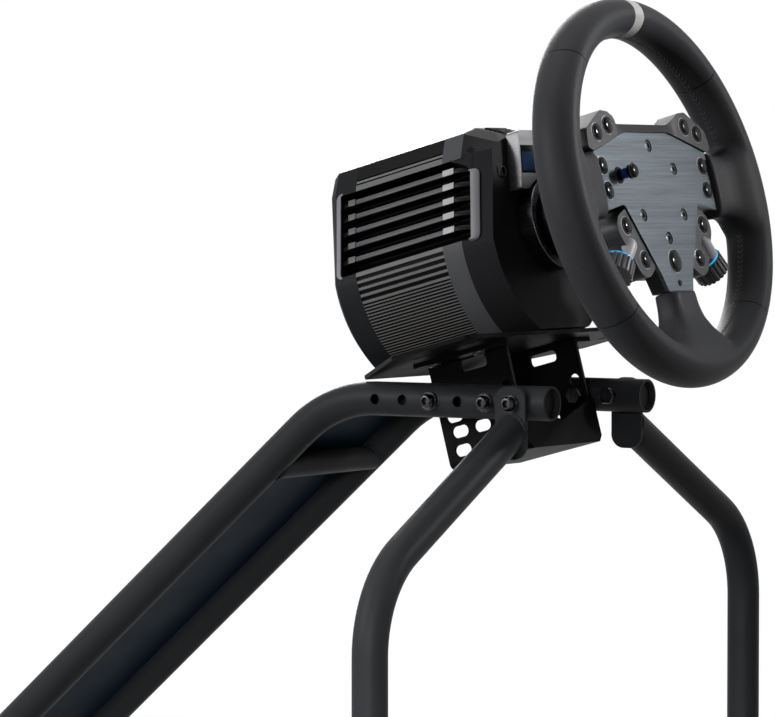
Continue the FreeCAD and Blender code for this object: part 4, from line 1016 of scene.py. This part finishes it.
def rimSolid(work):
    major, minor = rim["steps"]
    section = circle(1.0, 0.0, minor)
    grid = []
    for cos, sin, z in circle(1.0, 0.0, major):
        ring = [(rim["radius"] + rim["radial"] * c, rim["axial"] * s) for c, s, z in section]
        grid.append([work.verts.new((r * cos, r * sin, up)) for r, up in ring])
    for one, two in zip(grid, grid[1:] + grid[:1]):
        for j in range(minor):
            m = (j + 1) % minor
            work.faces.new((one[j], two[j], two[m], one[m]))


def rimSkin():
    right, left = (meshFrom(lambda w: spokeLoft(w, rim["sideSpoke"])) for side in (1, -1))
    left.transform(Matrix.Scale(-1, 4, (1, 0, 0)))
    left.flip_normals()
    low = meshFrom(lambda w: spokeLoft(w, rim["lowSpoke"]), Matrix.Rotation(-math.pi / 2, 4, "Z"))
    holder = workObject("rimWork", joined("rimWork", [meshFrom(rimSolid), right, left, low]))
    melt = holder.modifiers.new("melt", "REMESH")
    melt.mode = "VOXEL"
    melt.voxel_size = rim["voxel"]
    relax = holder.modifiers.new("relax", "SMOOTH")
    relax.factor = 0.5
    relax.iterations = rim["rounds"]
    mesh = plainMesh(holder)
    mesh.transform(wheelFrame)
    return mesh


rimPiece = addPiece("rim_wrap", rimSkin(), rimHide, "steering_wheel", 60, "wheel_rim")
print("rim wrapped:", len(rimPiece.data.polygons), "faces")

# stitches along the inner line of the rim, two slanted rows
stitch = {"count": 172, "radius": 118.4 * mm, "length": 3.4 * mm, "thick": 0.42 * mm, "lift": 1.1 * mm,
          "slant": 0.55}


def stitchShape(work):
    levels = ((-0.5, 0.25), (-0.38, 0.9), (0.0, 1.0), (0.38, 0.9), (0.5, 0.25))
    rings = []
    for along, share in levels:
        ring = circle(stitch["thick"] * share, stitch["length"] * along, 6)
        rings.append([(x, y, z) for x, z, y in ring])
    skin(work, rings)


stitchBead = template("stitchBead", stitchShape)
rows = []
for side in (-1, 1):
    slanted = Matrix.Rotation(side * stitch["slant"], 4, "X")
    stitchBead.data.transform(slanted)
    lift = side * stitch["lift"]
    rows.append(ringCopies(stitchBead, threadSkin, stitch["radius"], stitch["count"], lift=lift))
    stitchBead.data.transform(slanted.inverted())
addPiece("rim_stitches", joined("rim_stitches", rows), threadSkin, "steering_wheel", 60)
print("stitches sewn")

# hub, button bar and pods
hub = {"plateEdge": 0.45 * mm, "housingEdge": 1.2 * mm, "barEdge": 1.6 * mm, "podEdge": 1.5 * mm,
       "knobEdge": 0.5 * mm, "ringEdge": 0.2 * mm, "collarEdge": 0.3 * mm, "plateFace": 2.4}
# run of the bar between its two ends, which falls back towards its top edge
barRun = {"half": 47 * mm, "blend": 14 * mm, "fall": 4.6 * mm, "over": 3.8 * mm, "from": 47.5 * mm,
          "cuts": (-46, -42, -38, -34, -30, 30, 34, 38, 42, 46)}


def slopedBar(work):
    for x in barRun["cuts"]:
        bmesh.ops.bisect_plane(work, geom=allOf(work), plane_co=(x * mm, 0, 0), plane_no=(1, 0, 0))
    for vert in work.verts:
        inRun = barRun["half"] - abs(vert.co.x)
        if vert.co.z > barRun["over"] and vert.co.y > barRun["from"] and inRun > 0:
            share = min(1.0, inRun / barRun["blend"])
            vert.co.z -= barRun["fall"] * share * share * (3 - 2 * share)


dress("hub_plate", platePolish, hub["plateEdge"], 2, 30)
dress("hub_housing", housingSkin, hub["housingEdge"], 3, 30)
dress("upper_button_bar", podSkin, hub["barEdge"], 3, 30, shape=slopedBar)
for node in ("left_pod", "right_pod"):
    dress(node, podSkin, hub["podEdge"], 3, 30)

# quick release: turned sleeve with two grooves, and a knurled ring round it
release = {"radius": 27.0, "front": -26.6, "back": -84.0, "stub": 15.0, "stubEnd": -99.0,
           "ring": (-68.0, -54.0), "ridges": 60, "groove": 1.6, "grooves": (-73, -52),
           "neck": 2.4, "neckFrom": (-34, -31),
           "ridgeLow": (-0.7, -0.9), "ridgeHigh": (0.5, 0.9), "ridgeRound": 0.4}
r, back, stub, end = (release[word] for word in ("radius", "back", "stub", "stubEnd"))
sleeve = [(0, end), (stub - 1, end), (stub, end + 1), (stub, back),
          (r - 2.0, back), (r - 0.6, back + 0.6), (r, back + 2.0)]
groove, neck = r - release["groove"], r - release["neck"]
for z in release["grooves"]:
    sleeve += [(r, z), (groove, z + 0.6), (groove, z + 2.4), (r, z + 3)]
one, two = release["neckFrom"]
sleeve += [(r, one), (neck, two), (neck, release["front"]), (0, release["front"])]
turned("quick_release_sleeve", sleeve, sleeveMetal, "steering_wheel", 30, steps=72,
       replaces="quick_release")
one, two = release["ring"]
low, high = (*release["ridgeLow"], one), (*release["ridgeHigh"], two)
ridgeBar = template("releaseRidge", lambda w: roundBox(w, low, high, release["ridgeRound"], 2))
addPiece("release_ridges", ringCopies(ridgeBar, sleeveMetal, release["radius"] * mm, release["ridges"]),
         sleeveMetal, "steering_wheel", 30)
for node in ("left_knob", "right_knob"):
    dress(node, knobSkin, hub["knobEdge"], 2, 30)
dress("knob_rings", ringLight, hub["ringEdge"])

# smooth boss on each lower pod, from between its buttons to the ring of the knob
boss = {"start": (52.0, -35.0, -0.4), "slope": 48.0, "fall": 2.2, "radius": 6.0, "nose": 7.0, "length": 18.6}
r, nose, length = boss["radius"], boss["nose"], boss["length"]
bossLine = [(r * sin, nose * (1 - cos)) for cos, sin in arc(math.pi / 2, 8)]
bossLine += [(r, length * 0.7), (r, length), (0, length)]
for side, word in sides:
    lean = math.radians(boss["slope"])
    way = Vector((side * math.cos(lean), -math.sin(lean), -boss["fall"] / boss["length"]))
    x, y, z = boss["start"]
    place = Matrix.Translation((side * x * mm, y * mm, z * mm))
    place = place @ way.to_track_quat("Z", "Y").to_matrix().to_4x4()
    turned(word + "_pod_boss", bossLine, bossSkin, "steering_wheel", 50,
           place=wheelFrame @ place)
dress("button_collars", collarGloss, hub["collarEdge"])

# buttons: height of the face that each group stands on, and its places on the right side
domes = {"radius": 4.8, "bigRadius": 6.7, "rise": 2.4, "stem": 9.0, "edge": 0.30, "centre": (0.0, -52.5)}
groups = {"bar": (4.0, {"inner": (57.4, 49.5), "outer": (74.4, 44.2)}),
          "plate": (hub["plateFace"], {"high": (74.6, 19.6), "low": (73.9, 1.0)}),
          "pod": (1.0, {"high": (57.2, -25.0), "low": (41.1, -50.6)})}


def buttonPiece(node, spot, face, radius):
    rise, stem, edge = domes["rise"], -domes["stem"], domes["edge"]
    dome = [(0, stem), (radius, stem), (radius, rise * edge)]
    for cos, sin in arc(math.pi / 2, 8)[1:-1]:
        wide = radius * (1 - 0.18 * (1 - cos) - 0.82 * (1 - cos) ** 1.6)
        dome.append((wide, rise * (edge + (1 - edge) * sin)))
    dome.append((0, rise))
    turned(node + "_dome", [(r, z + face) for r, z in dome], buttonGloss, bodyOf[node], 50,
           spot, 44, node)


lineSpots = []
for group, (face, places) in groups.items():
    for rest, (x, y) in places.items():
        for side, word in sides:
            buttonPiece("%s_%s_button_%s" % (word, group, rest), (side * x, y), face, domes["radius"])
            lineSpots.append((wheelSpot(side * x, y, face), axisTurn))
buttonPiece("centre_button", domes["centre"], hub["plateFace"], domes["bigRadius"])

# thumb lever: dark stem with a capped end and a bright band, blue sleeve, and the ring it stands in
hat = {"spot": (-53.2, 12.5), "pivot": -1.6, "stem": 2.3, "start": 3.22, "sleeve": (7.0, 12.6, 3.6),
       "cap": 5.2, "capFrom": 12.6, "top": 19.0, "ring": (4.7, 6.4, 1.1)}


def hatPiece(name, profile, material, body, replaces=None):
    lifted = [(r, z + hat["pivot"]) for r, z in profile]
    turned(name, lifted, material, body, spot=hat["spot"], replaces=replaces)


c, t, low, stem = hat["cap"], hat["top"], hat["capFrom"], hat["stem"]
hatPiece("hat_lever_stem", [
    (0, hat["start"]), (stem, hat["start"]), (stem, low), (c - 0.9, low + 0.05), (c - 0.15, low + 0.6),
    (c, low + 1.4), (c, t - 2.4), (c - 0.3, t - 1.3), (c - 1.1, t - 0.5), (c - 2.2, t - 0.12), (0, t),
], buttonGloss, "hat_lever", "hat_lever")
one, two, wide = hat["sleeve"]
hatPiece("hat_lever_sleeve", [
    (0, one), (wide - 0.8, one), (wide, one + 0.8), (wide + 0.35, (one + two) / 2), (wide, two - 0.3),
    (wide - 0.4, two), (0, two),
], leverBlue, "hat_lever")
hatPiece("hat_lever_band", [
    (c - 0.4, t - 3.6), (c + 0.12, t - 3.5), (c + 0.16, t - 3.1), (c + 0.12, t - 2.7), (c - 0.4, t - 2.6),
], ringSteel, "hat_lever")
inner, outer, high = hat["ring"]
foot = hub["plateFace"] - hat["pivot"]
hatPiece("hat_ring", [
    (inner, foot - 0.6), (inner, foot + high * 0.7), (inner + 0.3, foot + high),
    (outer - 0.5, foot + high * 0.8), (outer, foot + 0.2), (outer, foot - 0.6), (inner, foot - 0.6),
], collarGloss, "steering_wheel")
dress("hat_ball", buttonGloss)

# bright hairline round each button collar
hairline = {"over": 2.0, "wide": 0.42, "high": 0.36, "root": -0.3, "steps": 6}


def hairlineShape(work, radius):
    r, wide, root = radius + hairline["over"], hairline["wide"], hairline["root"]
    arch = [(r - wide * cos, hairline["high"] * sin) for cos, sin in arc(math.pi, hairline["steps"])]
    lathe(work, inMm([(r - wide, root), *arch, (r + wide, root), (r - wide, root)]))


smallLine = template("smallLine", lambda w: hairlineShape(w, domes["radius"]))
bigLine = template("bigLine", lambda w: hairlineShape(w, domes["bigRadius"]))
scatter("button_lines", lineSpots, smallLine, ringSteel, "steering_wheel")
bigSpot = [(wheelSpot(*domes["centre"], hub["plateFace"]), axisTurn)]
scatter("centre_button_line", bigSpot, bigLine, ringSteel, "steering_wheel")

# small lamp under the big button
dot = {"spot": (0.0, -69.0), "radius": 2.3,
       "profile": ((0, 2.0), (1, 2.0), (1, 2.8), (0.8, 3.2), (0.62, 3.1), (0.55, 2.9), (0, 3.05))}
dotLine = [(dot["radius"] * share, z) for share, z in dot["profile"]]
turned("state_lamp", dotLine, buttonGloss, "steering_wheel", spot=dot["spot"], steps=32)
print("controls in place")

# screws that hold the hub plate
hubScrew = {"radius": 4.3 * mm, "high": 1.3 * mm, "key": 1.9 * mm, "deep": 1.0 * mm,
            "ring": 35.0 * mm, "count": 6, "start": math.radians(30), "seat": 0.9 * mm}
screwShape = template("hubScrew", lambda w: socketHead(w, hubScrew))
screws = ringCopies(screwShape, screwSteel, hubScrew["ring"], hubScrew["count"], hubScrew["start"],
                    hubScrew["seat"])
addPiece("hub_screws", screws, screwSteel, "steering_wheel")
print("fasteners set")

# pale floor that turns white away from the part, so that it meets the white round about
stage = {"half": 14, "grey": 0.80, "whiteFrom": 0.6, "whiteTo": 1.7, "bounce": 0.08, "sky": (0.9, 0.92, 0.95),
         "skyLight": 0.06}
half = stage["half"]
corners = [(-half, -half, 0), (half, -half, 0), (half, half, 0), (-half, half, 0)]
floorMesh = bpy.data.meshes.new("floor")
floorMesh.from_pydata(corners, [], [(0, 1, 2, 3)])
workObject("floor", floorMesh)


def paleFloor():
    made = Finish("paleFloor", Roughness=0.8, Base_Color=rgb(*[stage["grey"]] * 3))
    x, y = made.axes(made.coords())[:2]
    away = (x * x + y * y).maths("SQRT")
    shown = made.node("ShaderNodeClamp", None, {0: made.seenRays()})
    far = made.spread(away, stage["whiteFrom"], stage["whiteTo"], 0.0, 1.0)
    white = made.node("ShaderNodeEmission", None, {"Color": rgb(1, 1, 1), "Strength": 1.0})
    dull = made.node("ShaderNodeBsdfDiffuse", None, {"Color": rgb(*[stage["bounce"]] * 3)})
    pale = Wire(made.tree, made.shader.outputs[0])
    near = made.node("ShaderNodeMixShader", None, {0: shown, 1: dull, 2: pale})
    both = made.node("ShaderNodeMixShader", None, {0: shown * far, 1: near, 2: white})
    made.tree.links.new(both.socket, made.tree.nodes["Material Output"].inputs[0])
    return made.material


floorMesh.materials.append(paleFloor())

# white round about for the camera, and a faint fill for the rest
scene.world = bpy.data.worlds.new("studio")
scene.world.use_nodes = True
sky = NodeTree(scene.world.node_tree)
sky.tree.nodes.remove(sky.tree.nodes["Background"])
fill = sky.node("ShaderNodeBackground", None, {"Color": rgb(*stage["sky"]), "Strength": stage["skyLight"]})
white = sky.node("ShaderNodeBackground", None, {"Color": rgb(1, 1, 1), "Strength": 1.0})
blend = sky.node("ShaderNodeMixShader", None, {0: sky.seenRays(), 1: fill, 2: white})
sky.tree.links.new(blend.socket, sky.tree.nodes["World Output"].inputs[0])


def lamp(name, place, aim, size, power, beam=180):
    data = bpy.data.lights.new(name, "AREA")
    data.shape = "RECTANGLE"
    data.size, data.size_y = size
    data.energy = power
    data.spread = math.radians(beam)
    made = workObject(name, data)
    made.location = place
    made.rotation_euler = (Vector(aim) - Vector(place)).to_track_quat("-Z", "Y").to_euler()


hubPoint = (0.0, -0.35, 0.72)
lamp("leftLamp", (-2.0, 0.95, 1.4), hubPoint, (0.6, 1.2), 66)
lamp("rightLamp", (1.3, -2.1, 1.6), (-0.08, -0.41, 0.85), (0.35, 0.5), 1.05, 13)
lamp("legLamp", (-2.0, -1.0, 0.45), (0.0, -0.2, -0.10), (0.5, 0.9), 4.2, 28)
lamp("topLamp", (-0.2, 0.2, 3.0), hubPoint, (1.2, 1.2), 24)
lamp("backLamp", (1.9, 1.4, 1.5), hubPoint, (0.8, 1.2), 40)

# camera as read from the photograph
shot = {"place": (-2.7286, -1.9331, 0.7164), "heading": (0.8404, 0.5420), "drop": math.radians(2.29),
        "lens": 197.3, "sensor": 36.0, "clipEnd": 100}
lens = bpy.data.cameras.new("shot")
lens.sensor_width = shot["sensor"]
lens.lens = shot["lens"]
lens.clip_end = shot["clipEnd"]
camera = workObject("shot", lens)
camera.location = shot["place"]
level = math.cos(shot["drop"])
aim = Vector((shot["heading"][0] * level, shot["heading"][1] * level, -math.sin(shot["drop"])))
camera.rotation_euler = aim.to_track_quat("-Z", "Y").to_euler()
scene.camera = camera
scene.view_settings.view_transform = "Standard"

for made in [o for o in scene.objects if o.get("template")]:
    bpy.data.objects.remove(made)
print("scene ready")
